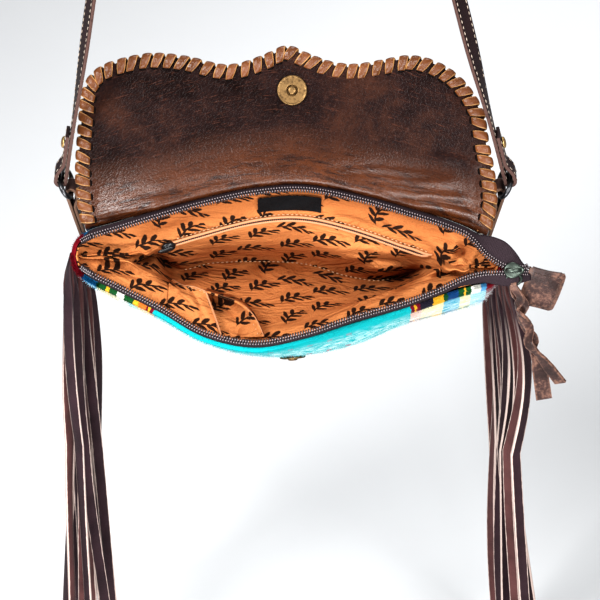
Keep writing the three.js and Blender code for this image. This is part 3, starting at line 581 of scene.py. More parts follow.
# Finishes
class Finish:
    """A material under construction: short calls that add shader nodes and join them."""

    def __init__(self, name, **shader):
        self.material = bpy.data.materials.new(name)
        self.material.use_nodes = True
        self.tree = self.material.node_tree
        self.shader = self.tree.nodes["Principled BSDF"]
        for socket, value in shader.items():
            self.set(self.shader.inputs[socket.replace("_", " ")], value)

    def set(self, socket, value):
        if isinstance(value, bpy.types.NodeSocket):
            self.tree.links.new(value, socket)
        elif socket.type == "RGBA":
            socket.default_value = (*value[:3], 1)
        else:
            socket.default_value = value

    def node(self, kind, inputs=(), **settings):
        node = self.tree.nodes.new("ShaderNode" + kind)
        for key, value in settings.items():
            setattr(node, key, value)
        for key, value in dict(inputs).items():
            self.set(node.inputs[key], value)
        return node

    def object_place(self):
        return self.node("TexCoord").outputs["Object"]

    def uv_place(self):
        return self.node("TexCoord").outputs["UV"]

    def scaled(self, vector, scale, turn=0.0):
        node = self.node("Mapping", {"Vector": vector, "Scale": scale, "Rotation": (0, 0, turn)})
        return node.outputs["Vector"]

    def split(self, vector):
        return self.node("SeparateXYZ", {"Vector": vector}).outputs

    def math(self, operation, *values, clamp=False):
        node = self.node("Math", operation=operation, use_clamp=clamp)
        for socket, value in zip(node.inputs, values):
            self.set(socket, value)
        return node.outputs[0]

    def grain(self, vector, scale, detail=3.0, roughness=0.55, distortion=0.0):
        inputs = {"Vector": vector, "Scale": scale, "Detail": detail}
        inputs |= {"Roughness": roughness, "Distortion": distortion}
        return self.node("TexNoise", inputs).outputs["Fac"]

    def cells(self, vector, scale, feature="F1", randomness=1.0):
        inputs = {"Vector": vector, "Scale": scale, "Randomness": randomness}
        return self.node("TexVoronoi", inputs, feature=feature).outputs["Distance"]

    def levels(self, value, low, high, to_low=0.0, to_high=1.0):
        inputs = {"Value": value, "From Min": low, "From Max": high, "To Min": to_low, "To Max": to_high}
        return self.node("MapRange", inputs).outputs["Result"]

    def ramp(self, factor, stops, interpolation="LINEAR"):
        node = self.node("ValToRGB", {"Fac": factor})
        node.color_ramp.interpolation = interpolation
        elements = node.color_ramp.elements
        while len(elements) < len(stops):
            elements.new(1.0)
        for element, (place, colour) in zip(elements, stops):
            element.position = place
            element.color = (*colour[:3], 1)
        return node.outputs["Color"]

    def blend(self, factor, first, second, mode="MIX"):
        node = self.node("Mix", data_type="RGBA", blend_type=mode)
        for index, value in ((0, factor), (6, first), (7, second)):
            self.set(node.inputs[index], value)
        return node.outputs[2]

    def bump(self, height, strength, distance, over=None):
        inputs = {"Height": height, "Strength": strength, "Distance": distance}
        if over is not None:
            inputs["Normal"] = over
        return self.node("Bump", inputs).outputs["Normal"]

    def done(self, colour=None, roughness=None, normal=None):
        for name, value in (("Base Color", colour), ("Roughness", roughness), ("Normal", normal)):
            if value is not None:
                self.set(self.shader.inputs[name], value)
        return self.material


def shade(colour, factor):
    """A colour made darker or lighter."""
    return tuple(min(1.0, c * factor) for c in colour[:3])


def flap_leather(colours):
    """Waxed leather: dark and mottled, redder where it bends and streaked there with painted shade in its
    wrinkles, with pores and hair scratches.

    u and v are metres, with v measured out from the back wall."""
    f = Finish("flap_leather")
    place, uv = f.object_place(), f.uv_place()
    cloudy = f.grain(place, 13, 4, 0.62, 0.5)
    blotch = f.grain(place, 55, 6, 0.72)
    mottle = f.math("ADD", f.math("MULTIPLY", cloudy, 0.6), f.math("MULTIPLY", blotch, 0.4))
    stray = f.math("MULTIPLY", f.math("SUBTRACT", mottle, 0.5), 0.05)
    warm = f.levels(f.math("ADD", f.split(uv)[1], stray), 0.034, 0.009)
    f.set(f.shader.inputs["Specular IOR Level"], f.levels(warm, 0, 1, 0.09, 0.33))
    lifted = f.math("ADD", mottle, f.math("MULTIPLY", warm, 0.05))
    browns = [
        (0, shade(colours.flap, 0.3)),
        (0.45, colours.flap),
        (0.8, colours.flap_worn),
        (1, shade(colours.flap_worn, 1.5)),
    ]
    base = f.ramp(f.levels(lifted, 0.36, 0.66), browns)
    base = f.blend(f.math("MULTIPLY", warm, f.levels(blotch, 0.3, 0.7, 0.35, 0.95)), base, colours.flap_bend)
    streaks = f.grain(f.scaled(uv, (70, 420, 1), 0.12), 1.0, 4, 0.6, 0.8)
    # Painted shade: darker streaks in the valleys of the wrinkle bump near the bend.
    painted_wrinkle_shade = f.math("MULTIPLY", warm, f.levels(streaks, 0.5, 0.36, 0, 0.75))
    base = f.blend(painted_wrinkle_shade, base, shade(colours.flap, 0.7))
    for turn, low in ((0.5, 0.62), (-0.35, 0.64), (1.3, 0.66)):
        hairs = f.grain(f.scaled(uv, (90, 1500, 1), turn), 1.0, 3, 0.6, 0.6)
        base = f.blend(f.levels(hairs, low, low + 0.06, 0, 0.7), base, shade(colours.flap_worn, 2.2))
    pores = f.cells(place, 900)
    fine = f.grain(place, 520, 5, 0.75)
    base = f.blend(f.levels(pores, 0.12, 0.4, 0.55, 0), base, shade(colours.flap, 0.2))
    base = f.blend(f.levels(fine, 0.55, 0.7, 0, 0.45), base, shade(colours.flap_worn, 1.8))
    creases = f.cells(f.scaled(uv, (430, 640, 1)), 1.0, "DISTANCE_TO_EDGE")
    wrinkles = f.math("MULTIPLY", streaks, f.levels(warm, 0, 1, 0.3, 4.5))
    relief = f.math("ADD", f.math("MULTIPLY", f.levels(creases, 0, 0.14), 0.5), f.math("ADD", fine, wrinkles))
    rough = f.levels(f.math("ADD", mottle, f.math("MULTIPLY", fine, 0.3)), 0.4, 0.9, 0.17, 0.34)
    return f.done(base, rough, f.bump(relief, 0.3, 0.0003))


def cut_leather(name, face, edge, edge_share, gloss, dark_end=0.0, shine=0.1):
    """A leather strip whose cut edges differ from its face, but for the first dark_end of its length.

    u runs across the strip and v along it."""
    f = Finish(name, Specular_IOR_Level=shine)
    place = f.object_place()
    cloudy = f.grain(place, 45, 4, 0.6)
    fine = f.grain(place, 900, 3, 0.65)
    across, along, _ = f.split(f.uv_place())
    centred = f.math("ABSOLUTE", f.math("SUBTRACT", across, 0.5))
    wobble = f.math("MULTIPLY", f.math("SUBTRACT", f.grain(place, 160, 3, 0.6), 0.5), 0.12)
    rim = f.levels(f.math("ADD", centred, wobble), 0.5 - edge_share, 0.5 - edge_share * 0.35)
    if dark_end:
        rim = f.math("MULTIPLY", rim, f.levels(along, dark_end * 0.4, dark_end, 0.03, 1))
    tone = f.blend(f.levels(cloudy, 0.3, 0.7), shade(face, 0.6), shade(face, 1.25))
    colour = f.blend(rim, tone, f.blend(fine, shade(edge, 0.75), edge))
    pores = f.cells(place, 800)
    normal = f.bump(f.math("ADD", pores, fine), 0.3, 0.0005)
    return f.done(colour, f.levels(cloudy, 0.3, 0.7, gloss, gloss + 0.15), normal)


def worn_leather(name, face, rubbed):
    """Waxed leather, nearly black in places and rubbed pale on its raised spots."""
    f = Finish(name, Specular_IOR_Level=0.28)
    place = f.object_place()
    cloudy = f.grain(place, 90, 5, 0.65)
    spots = f.grain(place, 420, 4, 0.7)
    tone = f.blend(f.levels(cloudy, 0.36, 0.62), shade(face, 0.4), face)
    across = f.math("ABSOLUTE", f.math("SUBTRACT", f.split(f.uv_place())[0], 0.5))
    rim = f.math("MULTIPLY", f.levels(across, 0.36, 0.48), f.levels(spots, 0.35, 0.6))
    wear = f.math("MAXIMUM", rim, f.levels(f.math("MULTIPLY", cloudy, spots), 0.24, 0.36, 0, 0.8))
    relief = f.math("ADD", spots, f.math("MULTIPLY", f.cells(place, 700), 0.5))
    rough = f.levels(cloudy, 0.3, 0.7, 0.38, 0.58)
    return f.done(f.blend(wear, tone, rubbed), rough, f.bump(relief, 0.35, 0.0006))


def blanket_cloth(colours, flipped):
    """Blanket cloth: a plain field with banded stripes at both ends, in heathered and felted yarn.

    u and v are metres. The flipped side also has a band of painted shade where the flap is sewn on."""
    f = Finish("blanket_back" if flipped else "blanket_front", Roughness=0.95, Specular_IOR_Level=0.1)
    u, v, _ = f.split(f.uv_place())
    u = f.math("SUBTRACT", u, CLOTH_HALF)
    place = f.object_place()
    wander = f.math("MULTIPLY", f.math("SUBTRACT", f.grain(place, 420, 2, 0.5), 0.5), 0.0022)
    x = f.math("ADD", u, wander)
    teal, navy, cream = colours.teal, colours.navy, colours.cream
    maroon, green, gold = colours.maroon, colours.green, colours.gold
    red = shade(colours.red, 0.7)
    white = (0.8, 0.8, 0.74)
    blue, sky, rust, black = (0.012, 0.16, 0.36), (0.1, 0.35, 0.6), (0.62, 0.17, 0.03), (0.02, 0.016, 0.03)
    pale_blue, pale_teal, pale_sky = (0.12, 0.42, 0.6), (0.3, 0.62, 0.62), (0.3, 0.6, 0.68)
    pale_rust, pale_rose, pale_gold = (0.75, 0.5, 0.25), (0.72, 0.45, 0.36), (0.8, 0.7, 0.35)
    pale_navy, pale_green = (0.08, 0.4, 0.55), (0.7, 0.7, 0.4)
    dark_stops = [
        (-CLOTH_HALF, red), (-0.121, blue), (-0.113, green), (-0.108, gold), (-0.106, green), (-0.101, white),
        (-0.097, green), (-0.091, gold), (-0.088, rust), (-0.084, maroon), (-0.0825, gold), (-0.081, maroon),
        (-0.079, teal), (0.073, maroon), (0.0745, gold), (0.076, maroon), (0.0785, black), (0.086, gold),
        (0.0925, green), (0.0945, navy), (0.1015, green), (0.1045, gold), (0.106, green), (0.109, white),
        (0.1145, sky), (0.1172, red),
    ]
    pale_stops = [
        (-CLOTH_HALF, maroon), (-0.121, pale_blue), (-0.113, cream), (-0.1, white), (-0.095, pale_teal),
        (-0.089, cream), (-0.083, pale_rust), (-0.079, teal), (0.073, pale_rose), (0.079, cream),
        (0.086, pale_gold), (0.0925, pale_navy), (0.1025, pale_green), (0.109, pale_sky), (0.1172, maroon),
    ]

    def stripes(stops):
        along = f.math("DIVIDE", f.math("ADD", x, CLOTH_HALF), 2 * CLOTH_HALF)
        shares = [((start + CLOTH_HALF) / (2 * CLOTH_HALF), colour) for start, colour in stops]
        return f.ramp(along, shares, "CONSTANT")

    row = f.math("PINGPONG", f.math("ADD", v, f.math("MULTIPLY", wander, 0.8)), 0.0085)
    bands = f.math("GREATER_THAN", row, 0.0055)
    first = f.math("LESS_THAN", v, 0.006)
    dark = f.math("MAXIMUM", first, f.math("MULTIPLY", bands, f.math("GREATER_THAN", v, 0.013)))
    colour = f.blend(dark, stripes(pale_stops), stripes(dark_stops))
    heather = f.grain(f.scaled(f.uv_place(), (160, 900, 1), 0.06), 1.0, 3, 0.65)
    lower = f.levels(v, 0.004, 0.014)
    fleck = f.math("MULTIPLY", f.levels(heather, 0.43, 0.6), f.math("MULTIPLY", lower, 0.85))
    colour = f.blend(fleck, colour, (0.75, 0.9, 0.9))
    dash_across = f.math("GREATER_THAN", f.math("PINGPONG", f.math("ADD", u, 0.0042), 0.0058), 0.0042)
    dash_down = f.math("GREATER_THAN", f.math("PINGPONG", f.math("ADD", v, 0.002), 0.009), 0.0078)
    dash = f.math("MULTIPLY", dash_across, dash_down)
    middle = f.math("LESS_THAN", f.math("ABSOLUTE", u), 0.045)
    colour = f.blend(f.math("MULTIPLY", f.math("MULTIPLY", dash, middle), lower), colour, (0.62, 0.05, 0.12))
    weft = f.math("SINE", f.math("MULTIPLY", f.math("ADD", v, f.math("MULTIPLY", wander, 0.3)), 5200))
    warp = f.math("SINE", f.math("MULTIPLY", x, 3600))
    yarn = f.math("MULTIPLY", weft, warp)
    tone = f.levels(f.math("ADD", f.math("MULTIPLY", yarn, 0.5), heather), 0.0, 1.1, 0.72, 1.15)
    colour = f.blend(1.0, colour, f.ramp(tone, [(0, (0, 0, 0)), (1, (1, 1, 1))]), "MULTIPLY")
    if flipped:
        # Painted shade: the back wall's top under the flap is darkened to a deep tape colour.
        under_flap = f.math("LESS_THAN", f.math("ABSOLUTE", u), 0.113)
        painted_flap_shade = f.math("MULTIPLY", f.levels(v, 0.027, 0.023), under_flap)
        colour = f.blend(painted_flap_shade, colour, shade(colours.tape, 0.6))
    felt = f.grain(place, 2400, 3, 0.7)
    normal = f.bump(f.math("ADD", yarn, f.math("MULTIPLY", felt, 1.6)), 0.75, 0.0006)
    return f.done(colour, None, normal)


def lining_cloth(colours):
    """Tan cotton printed with loose dark sprigs, with painted shade browning it where the painted_shade
    attribute is high.

    u and v are metres."""
    f = Finish("lining_print", Roughness=0.9, Specular_IOR_Level=0.12)
    place = f.object_place()
    uv = f.uv_place()
    blur = f.node("TexNoise", {"Vector": uv, "Scale": 350.0, "Detail": 2.0}).outputs["Color"]
    wobble = f.node("VectorMath", {0: blur, 1: (0.5, 0.5, 0.5)}, operation="SUBTRACT").outputs[0]
    wobble = f.node("VectorMath", {0: wobble, 3: 0.0012}, operation="SCALE").outputs[0]
    uv = f.node("VectorMath", {0: uv, 1: wobble}, operation="ADD").outputs[0]
    grid = f.split(f.scaled(uv, (1 / 0.025, 1 / 0.0148, 1), math.radians(-24)))
    row = f.math("FLOOR", grid[1])
    column_place = f.math("ADD", grid[0], f.math("MULTIPLY", row, 0.41))
    column = f.math("FLOOR", column_place)
    cell = f.node("CombineXYZ", {0: column, 1: row}).outputs[0]
    chance = f.node("TexWhiteNoise", {"Vector": cell}, noise_dimensions="2D").outputs
    q = f.node(
        "CombineXYZ",
        {
            0: f.math("MULTIPLY", f.math("SUBTRACT", f.math("FRACT", column_place), 0.5), 21.0),
            1: f.math("MULTIPLY", f.math("SUBTRACT", f.math("FRACT", grid[1]), 0.5), 12.5),
        },
    ).outputs[0]
    jitter = f.node("VectorMath", {0: chance["Color"], 1: (0.5, 0.5, 0.5)}, operation="SUBTRACT").outputs[0]
    jitter = f.node("VectorMath", {0: jitter, 1: (7.0, 3.4, 0.0)}, operation="MULTIPLY").outputs[0]
    q = f.node("VectorMath", {0: q, 1: jitter}, operation="ADD").outputs[0]
    tilt = f.math("MULTIPLY", f.math("SUBTRACT", chance["Value"], 0.5), 1.5)
    q = f.node("VectorRotate", {"Vector": q, "Angle": tilt}, rotation_type="Z_AXIS").outputs[0]
    bent = f.split(q)
    bow = f.math("SUBTRACT", f.math("MULTIPLY", f.math("MULTIPLY", bent[0], bent[0]), 0.035), 0.8)
    q = f.node("CombineXYZ", {0: bent[0], 1: f.math("ADD", bent[1], bow)}).outputs[0]
    # The stem and its leaves: centre, turn in degrees, and half length and width
    leaves = [
        ((0.0, 0.0), 0, (8.6, 0.5)),
        ((-5.4, 1.6), 38, (2.7, 1.0)),
        ((-3.2, -1.8), -40, (2.8, 1.0)),
        ((-0.8, 2.1), 42, (3.1, 1.05)),
        ((1.4, -1.9), -38, (2.9, 1.0)),
        ((3.6, 1.7), 36, (2.7, 0.95)),
        ((5.6, -1.4), -34, (2.4, 0.85)),
        ((8.4, 0.3), 8, (2.1, 0.95)),
    ]
    nearest = None
    for (cx, cy), turn, (long, short) in leaves:
        inputs = {"Vector": q, "Location": (cx, cy, 0), "Scale": (long, short, 1)}
        inputs["Rotation"] = (0, 0, math.radians(turn))
        leaf = f.node("Mapping", inputs, vector_type="TEXTURE").outputs[0]
        size = f.node("VectorMath", {0: leaf}, operation="LENGTH").outputs["Value"]
        nearest = size if nearest is None else f.math("MINIMUM", nearest, size)
    ink = f.levels(nearest, 1.12, 0.88)
    cloudy = f.grain(place, 30, 3, 0.6)
    tan = f.blend(f.levels(cloudy, 0.3, 0.7), shade(colours.lining, 0.82), colours.lining)
    speck = f.grain(place, 1500, 2, 0.6)
    tan = f.blend(f.levels(speck, 0.42, 0.62, 0, 0.3), tan, shade(colours.lining, 1.3))
    # Painted shade: where painted_shade is high, the tan is multiplied towards a dark brown.
    painted_shade = f.node("Attribute", attribute_name="painted_shade").outputs["Fac"]
    tan = f.blend(painted_shade, tan, f.blend(1.0, tan, (0.5, 0.37, 0.28), "MULTIPLY"))
    colour = f.blend(f.math("MULTIPLY", ink, 0.97), tan, colours.print)
    threads = f.split(f.scaled(uv, (9500, 9500, 1)))
    weave = f.math("MULTIPLY", f.math("SINE", threads[0]), f.math("SINE", threads[1]))
    folded = f.grain(f.scaled(uv, (26, 60, 1), 0.45), 1.0, 4, 0.55, 1.4)
    rumple = f.math("ABSOLUTE", f.math("SUBTRACT", folded, 0.5))
    soft = f.bump(f.math("ADD", f.levels(rumple, 0, 0.16), f.grain(place, 75, 3, 0.5)), 0.5, 0.0032)
    crinkle = f.math("MULTIPLY", f.grain(place, 260, 3, 0.6), 1.4)
    return f.done(colour, None, f.bump(f.math("ADD", weave, crinkle), 0.25, 0.0006, soft))


def zip_tape_cloth(colours):
    """Ribbed zipper tape. v runs along it, in metres."""
    f = Finish("zip_tape", Roughness=0.9, Specular_IOR_Level=0.12)
    u, v, _ = f.split(f.uv_place())
    ribs = f.math("SINE", f.math("MULTIPLY", v, 7000))
    cords = f.math("SINE", f.math("MULTIPLY", u, 32))
    weave = f.math("MULTIPLY", ribs, cords)
    speck = f.grain(f.object_place(), 1200, 2, 0.6)
    tone = f.levels(f.math("ADD", f.math("MULTIPLY", weave, 0.3), speck), 0.2, 1.0)
    colour = f.blend(tone, shade(colours.tape, 0.65), shade(colours.tape, 1.45))
    return f.done(colour, None, f.bump(weave, 0.5, 0.0004))


def worn_metal(name, bright, dark, roughness, speck=0.5):
    """Antiqued plate: bright metal with darker tarnish in patches and spots."""
    f = Finish(name, Metallic=1.0)
    place = f.object_place()
    patches = f.grain(place, 420, 5, 0.7)
    spots = f.cells(place, 700)
    tarnish = f.math("MULTIPLY", f.levels(patches, 0.42, 0.62), f.levels(spots, 0.75, 0.2, 0.4, 1.0))
    colour = f.blend(f.math("MULTIPLY", tarnish, speck), bright, dark)
    rough = f.levels(patches, 0.3, 0.7, roughness, roughness + 0.25)
    return f.done(colour, rough, f.bump(patches, 0.12, 0.0004))


def plain_cloth(name, colour, rib):
    """Closely woven plain cloth for the label."""
    f = Finish(name, Roughness=0.75, Specular_IOR_Level=0.12)
    threads = f.split(f.scaled(f.uv_place(), (rib, rib, 1)))
    weave = f.math("MULTIPLY", f.math("SINE", threads[0]), f.math("SINE", threads[1]))
    speck = f.grain(f.object_place(), 900, 2, 0.6)
    tone = f.blend(f.levels(speck, 0.35, 0.7), colour, shade(colour, 2.6))
    return f.done(tone, None, f.bump(weave, 0.35, 0.0003))


def thread(name, colour):
    """Twisted sewing thread or cord."""
    f = Finish(name, Roughness=0.6)
    strands = f.grain(f.object_place(), 2600, 2, 0.5)
    return f.done(f.blend(strands, shade(colour, 0.7), colour), None, f.bump(strands, 0.4, 0.0003))


def glossy_teeth(name, colour):
    """Dark glossy metal or plastic with a little pale dust, for teeth and the pocket's slider."""
    f = Finish(name, Specular_IOR_Level=0.35)
    dust = f.grain(f.object_place(), 1800, 3, 0.6)
    tone = f.blend(f.levels(dust, 0.45, 0.7), colour, shade(colour, 2.2))
    return f.done(tone, f.levels(dust, 0.3, 0.7, 0.22, 0.4), f.bump(dust, 0.1, 0.0002))


def pale_floor(colours):
    """Matt studio paper, with painted shade towards its far left and near right."""
    f = Finish("studio_floor", Roughness=0.9, Specular_IOR_Level=0.1)
    place = f.object_place()
    x, y, _ = f.split(place)
    deep = f.math("MULTIPLY", f.math("SUBTRACT", y, 0.45), 2.7)
    slant = f.math("SUBTRACT", f.math("MULTIPLY", x, 4.0), deep)
    # Painted shade darkens the paper towards its far left and near right.
    paper = f.blend(f.levels(slant, -0.5, -2.4), colours.floor, shade(colours.floor, 0.76))
    paper = f.blend(f.levels(slant, 0.4, 2.2), paper, shade(colours.floor, 0.6))
    tooth = f.grain(place, 60, 3, 0.5)
    return f.done(f.blend(tooth, paper, f.blend(1.0, paper, (0.985, 0.985, 0.985), "MULTIPLY")))


# What a user may change
def length_property(name, words, default):
    return FloatProperty(name=name, description=words, default=default, unit="LENGTH")


def count_property(name, words, default, low, high):
    return IntProperty(name=name, description=words, default=default, min=low, max=high)


def colour_property(name, words, default):
    shown = {"subtype": "COLOR", "size": 3, "min": 0, "max": 1}
    return FloatVectorProperty(name=name, description=words, default=default, **shown)


class FlapBagSizes(bpy.types.PropertyGroup):
    """Sizes and counts of the details, lengths in metres"""

    lace_width: length_property("Lace width", "Width of the lace round the flap", 0.0059)
    lace_pitch: length_property("Lace pitch", "Distance between turns of the lace", 0.0074)
    tooth_pitch: length_property("Tooth pitch", "Distance between zipper teeth", 0.0016)
    stitch_pitch: length_property("Stitch pitch", "Distance between the strap's stitches", 0.0042)
    fringe_strips: count_property("Fringe strips", "Strips on each side", 15, 3, 40)
    fringe_length: length_property("Fringe length", "Length of a strip", 0.308)
    fringe_width: length_property("Fringe width", "Width of a strip", 0.0066)
    fibres: count_property("Nap", "Loose fibres on the front wall, at least", 8192, 1, 20000)
    strap_width: length_property("Strap width", "Width of the strap", 0.012)


class FlapBagColours(bpy.types.PropertyGroup):
    """Colours of the materials"""

    flap: colour_property("Flap", "Brown of the flap's face", (0.0135, 0.0062, 0.0056))
    flap_worn: colour_property("Flap, rubbed", "Lighter brown where it is rubbed", (0.033, 0.012, 0.0072))
    flap_bend: colour_property("Flap, bent", "Red-brown where the leather bends", (0.092, 0.0262, 0.0066))
    lace: colour_property("Lace", "Tan of the lace", (0.12, 0.04, 0.012))
    lace_edge: colour_property("Lace edge", "Cut edge of the lace", (0.44, 0.23, 0.085))
    fringe: colour_property("Fringe", "Dark brown of the fringe", (0.025, 0.0125, 0.016))
    fringe_light: colour_property("Fringe, lighter", "Redder brown of some strips", (0.075, 0.03, 0.029))
    fringe_edge: colour_property("Fringe edge", "Cut edge of the fringe", (0.6, 0.47, 0.42))
    strap: colour_property("Strap", "Brown of the strap", (0.022, 0.0115, 0.012))
    tab: colour_property("Tabs", "Brown of the tabs and the pull", (0.055, 0.026, 0.022))
    teal: colour_property("Teal", "Field of the blanket cloth", (0.006, 0.46, 0.49))
    navy: colour_property("Navy", "Stripe", (0.008, 0.06, 0.19))
    cream: colour_property("Cream", "Stripe", (0.78, 0.7, 0.42))
    red: colour_property("Red", "Stripe", (0.27, 0.007, 0.02))
    maroon: colour_property("Maroon", "Stripe", (0.18, 0.008, 0.025))
    green: colour_property("Green", "Stripe", (0.01, 0.085, 0.022))
    gold: colour_property("Gold", "Stripe", (0.78, 0.42, 0.03))
    lining: colour_property("Lining", "Ground of the lining", (0.55, 0.208, 0.07))
    print: colour_property("Lining print", "Sprigs on the lining", (0.007, 0.0035, 0.003))
    tape: colour_property("Zipper tape", "Tape", (0.031, 0.0205, 0.025))
    floor: colour_property("Floor", "Studio floor", (0.66, 0.668, 0.678))


class FlapBagOperator:
    """What every step shares: its options and the scene's sizes and colours"""

    bl_options = {"REGISTER", "UNDO"}

    @property
    def sizes(self):
        return bpy.context.scene.flap_bag_sizes

    @property
    def colours(self):
        return bpy.context.scene.flap_bag_colours


class FLAPBAG_OT_blanket_walls(FlapBagOperator, bpy.types.Operator):
    """Builds the front and back walls of blanket cloth"""

    bl_idname = "flap_bag.blanket_walls"
    bl_label = "Blanket walls"

    def spread(self, a, b):
        """The x and depth of a grid's shares, with columns closer at the sides and rows closer at the rim."""
        return -HALF * math.cos(math.pi * a), DEPTH * b**1.2

    def execute(self, context):
        for side in ("front", "back"):
            bm = bmesh.new()

            def place(a, b):
                x, depth = self.spread(a, b)
                ripple = noise.noise(Vector((x * 0.03, depth * 0.03, 5.0 if side == "front" else 9.0)))
                inner = smooth_step(HALF, 112, abs(x))
                free = smooth_step(3, 25, depth) * smooth_step(DEPTH, 135, depth) * inner
                return bag(cloth_outer(side, x, depth, 0.9 * ripple * free - WOOL / 2))

            lay_grid(bm, 120, 60, place)
            uv = bm.loops.layers.uv.verify()
            for face in bm.faces:
                for loop in face.loops:
                    x, depth = self.spread(*loop[uv].uv)
                    loop[uv].uv = (CLOTH_HALF + x * MM, depth * MM)
            finish = blanket_cloth(self.colours, side == "back")
            cloth = make_piece(f"blanket_{side}", bm, finish, [f"{side}_panel"])
            thicken(cloth, WOOL * MM * 0.96)
            round_edges(cloth, 0.0008)
            self.nap(side, finish)
        return {"FINISHED"}

    def nap(self, side, finish):
        """Stands loose fibres on the cloth, denser near the top, with a third of them at the rim's ends."""
        bm = bmesh.new()
        uv = bm.loops.layers.uv.verify()
        bmesh.ops.create_cone(bm, cap_ends=True, segments=3, radius1=0.00011, radius2=0.00003, depth=MM)
        wanted = self.sizes.fibres if side == "front" else self.sizes.fibres // 4
        while len(bm.faces) < wanted * 5:
            bmesh.ops.duplicate(bm, geom=bm.verts[:] + bm.edges[:] + bm.faces[:])
        bm.normal_update()
        feet = [face for face in bm.faces if face.normal.z < -0.9]
        shallow = 0.2 if side == "front" else 30.0
        for k, foot in enumerate(feet):
            x = mix(-HALF + 1, HALF - 1, scatter(k + 1, 0.6180339887))
            depth = shallow + 62 * scatter(k + 1, 0.7548776662) ** 1.6
            sunk = 0.3
            stand = Vector((0, 0, 0))
            if k % 3 == 0:
                x = math.copysign(HALF - 15 * scatter(k, 0.2718) ** 1.5, x)
                depth = 0.1
                sunk = 2.3 * scatter(k, 0.1931)
                stand.z = 1.1
            lean = Vector((scatter(k, 0.317) - 0.5, scatter(k, 0.531) - 0.5, scatter(k, 0.873) - 0.3)) * 1.5
            direction = (cloth_normal(side, x, depth) + lean + stand).normalized()
            length = mix(0.9, 2.1, scatter(k, 0.437))
            middle = bag(cloth_outer(side, x, depth, -sunk) + direction * length / 2)
            turn = Vector((0, 0, 1)).rotation_difference(BAG_TURN @ direction)
            for v in {end for corner in foot.verts for edge in corner.link_edges for end in edge.verts}:
                v.co = middle + turn @ Vector((v.co.x, v.co.y, v.co.z * length))
                for loop in v.link_loops:
                    loop[uv].uv = (CLOTH_HALF + x * MM, depth * MM)
        make_piece(f"blanket_nap_{side}", bm, finish)


class FLAPBAG_OT_lining(FlapBagOperator, bpy.types.Operator):
    """Builds the slack printed lining"""

    bl_idname = "flap_bag.lining"
    bl_label = "Lining"

    def execute(self, context):
        bm = bmesh.new()
        uv = bm.loops.layers.uv.verify()
        painted_shade = bm.verts.layers.float.new("painted_shade")
        verts = lay_grid(bm, 260, 80, lambda a, b: Vector((a, b, 0)))
        places = []
        for v in verts:
            turn = 2 * math.pi * (v.co.x % 1.0)
            side = "front" if turn <= math.pi else "back"
            places.append((side, -HALF * math.cos(turn), DEPTH * v.co.y**1.35))
        points = lining_surface(places, 0.8)
        shown = dict(zip(verts, points))
        raised = fold_height(LINING_FOLDS, points[:, 0], points[:, 1])
        for v, p, up, (side, _, depth) in zip(verts, points, raised, places):
            v.co = bag(p)
            # Painted shade, kept low at the ends: darker in the valleys of the folds and a little with depth,
            # on the back's strip below the rim, and on the front below its top, more so deeper down.
            middle = mix(1.0, 0.3, smooth_step(78, 104, abs(p[0])))
            v[painted_shade] = min(1.0, smooth_step(-0.5, -5, up) * 0.7 + smooth_step(-25, -95, p[2]) * 0.1) * middle
            if side == "back":
                shaded = 0.6 * smooth_step(-22, -6, p[2] - rim_z(p[0]))
            else:
                shaded = mix(0.1, 0.42, smooth_step(85, 158, depth)) * smooth_step(14, 45, depth)
            v[painted_shade] = min(1.0, v[painted_shade] + shaded * middle)
        for face in bm.faces:
            for loop in face.loops:
                a, b = loop[uv].uv
                x, y, z = shown[loop.vert]
                loop[uv].uv = (x * MM, (y + 0.3 * z * (1 if a > 0.5 else -1)) * MM)
        lining = make_piece("lining", bm, lining_cloth(self.colours), ["lining"], weld=True)
        thicken(lining, 0.0008)
        return {"FINISHED"}


# How the flap rolls over the back rim, as (out from the wall, height) in millimetres
FLAP_ROLL = [
    (0, -FLAP_ROOT), (0, -15), (0, -6), (-1.5, -1.6), (0.2, 1.3), (4.5, 1.6), (11, 0.2), (20, -1.9),
    (30, FLAP_PLANE),
]


class FLAPBAG_OT_flap(FlapBagOperator, bpy.types.Operator):
    """Builds the raised leather flap"""

    bl_idname = "flap_bag.flap"
    bl_label = "Flap"

    def execute(self, context):
        bm = bmesh.new()
        verts = lay_grid(bm, 150, 90, lambda a, b: Vector((a, b, 0)))
        roots = {}
        points, feet = [], []
        for v in verts:
            across = math.sin((v.co.x * 2 - 1) * math.pi / 2)
            key = round(across, 6)
            if key not in roots:
                roots[key] = flap_root_y(across * flap_half(across, 0))
            points.append(flap_point(across, v.co.y, roots[key]))
            feet.append(roots[key])
        points = np.array(points)
        x, y = points[:, 0], points[:, 1]
        standing = np.clip((y - 30) / 15, 0, 1)
        sway = 1.1 * np.sin(x * 0.035 + 0.6) + 0.7 * np.sin(y * 0.06 + x * 0.02)
        creases = fold_height(FLAP_FOLDS, x, y) * 1.3 + 0.25 * sway * standing
        out = y - np.array(feet)
        reach = FLAP_ROLL[-1][0]
        for i in np.flatnonzero(out < reach):
            inner = np.clip((112 - abs(points[i, 0])) / 34, 0, 1)
            height = points[i, 2] + FLAP_ROOT
            along = (height + out[i]) / (FLAP_ROOT + FLAP_PLANE + reach)
            roll = curve(FLAP_ROLL, along)
            points[i, 1] = mix(points[i, 1], feet[i] + roll.x, inner)
            points[i, 2] = mix(points[i, 2], roll.y, inner)
        points[:, 2] += creases
        uv = bm.loops.layers.uv.verify()
        for v, p, foot in zip(verts, points, feet):
            for loop in v.link_loops:
                loop[uv].uv = (p[0] * MM + 0.13, (p[1] - foot) * MM)
            v.co = bag(p)
        flap = make_piece("flap", bm, flap_leather(self.colours), ["flap"])
        thicken(flap, LEATHER * MM * 0.92)
        round_edges(flap, 0.0006)
        return {"FINISHED"}


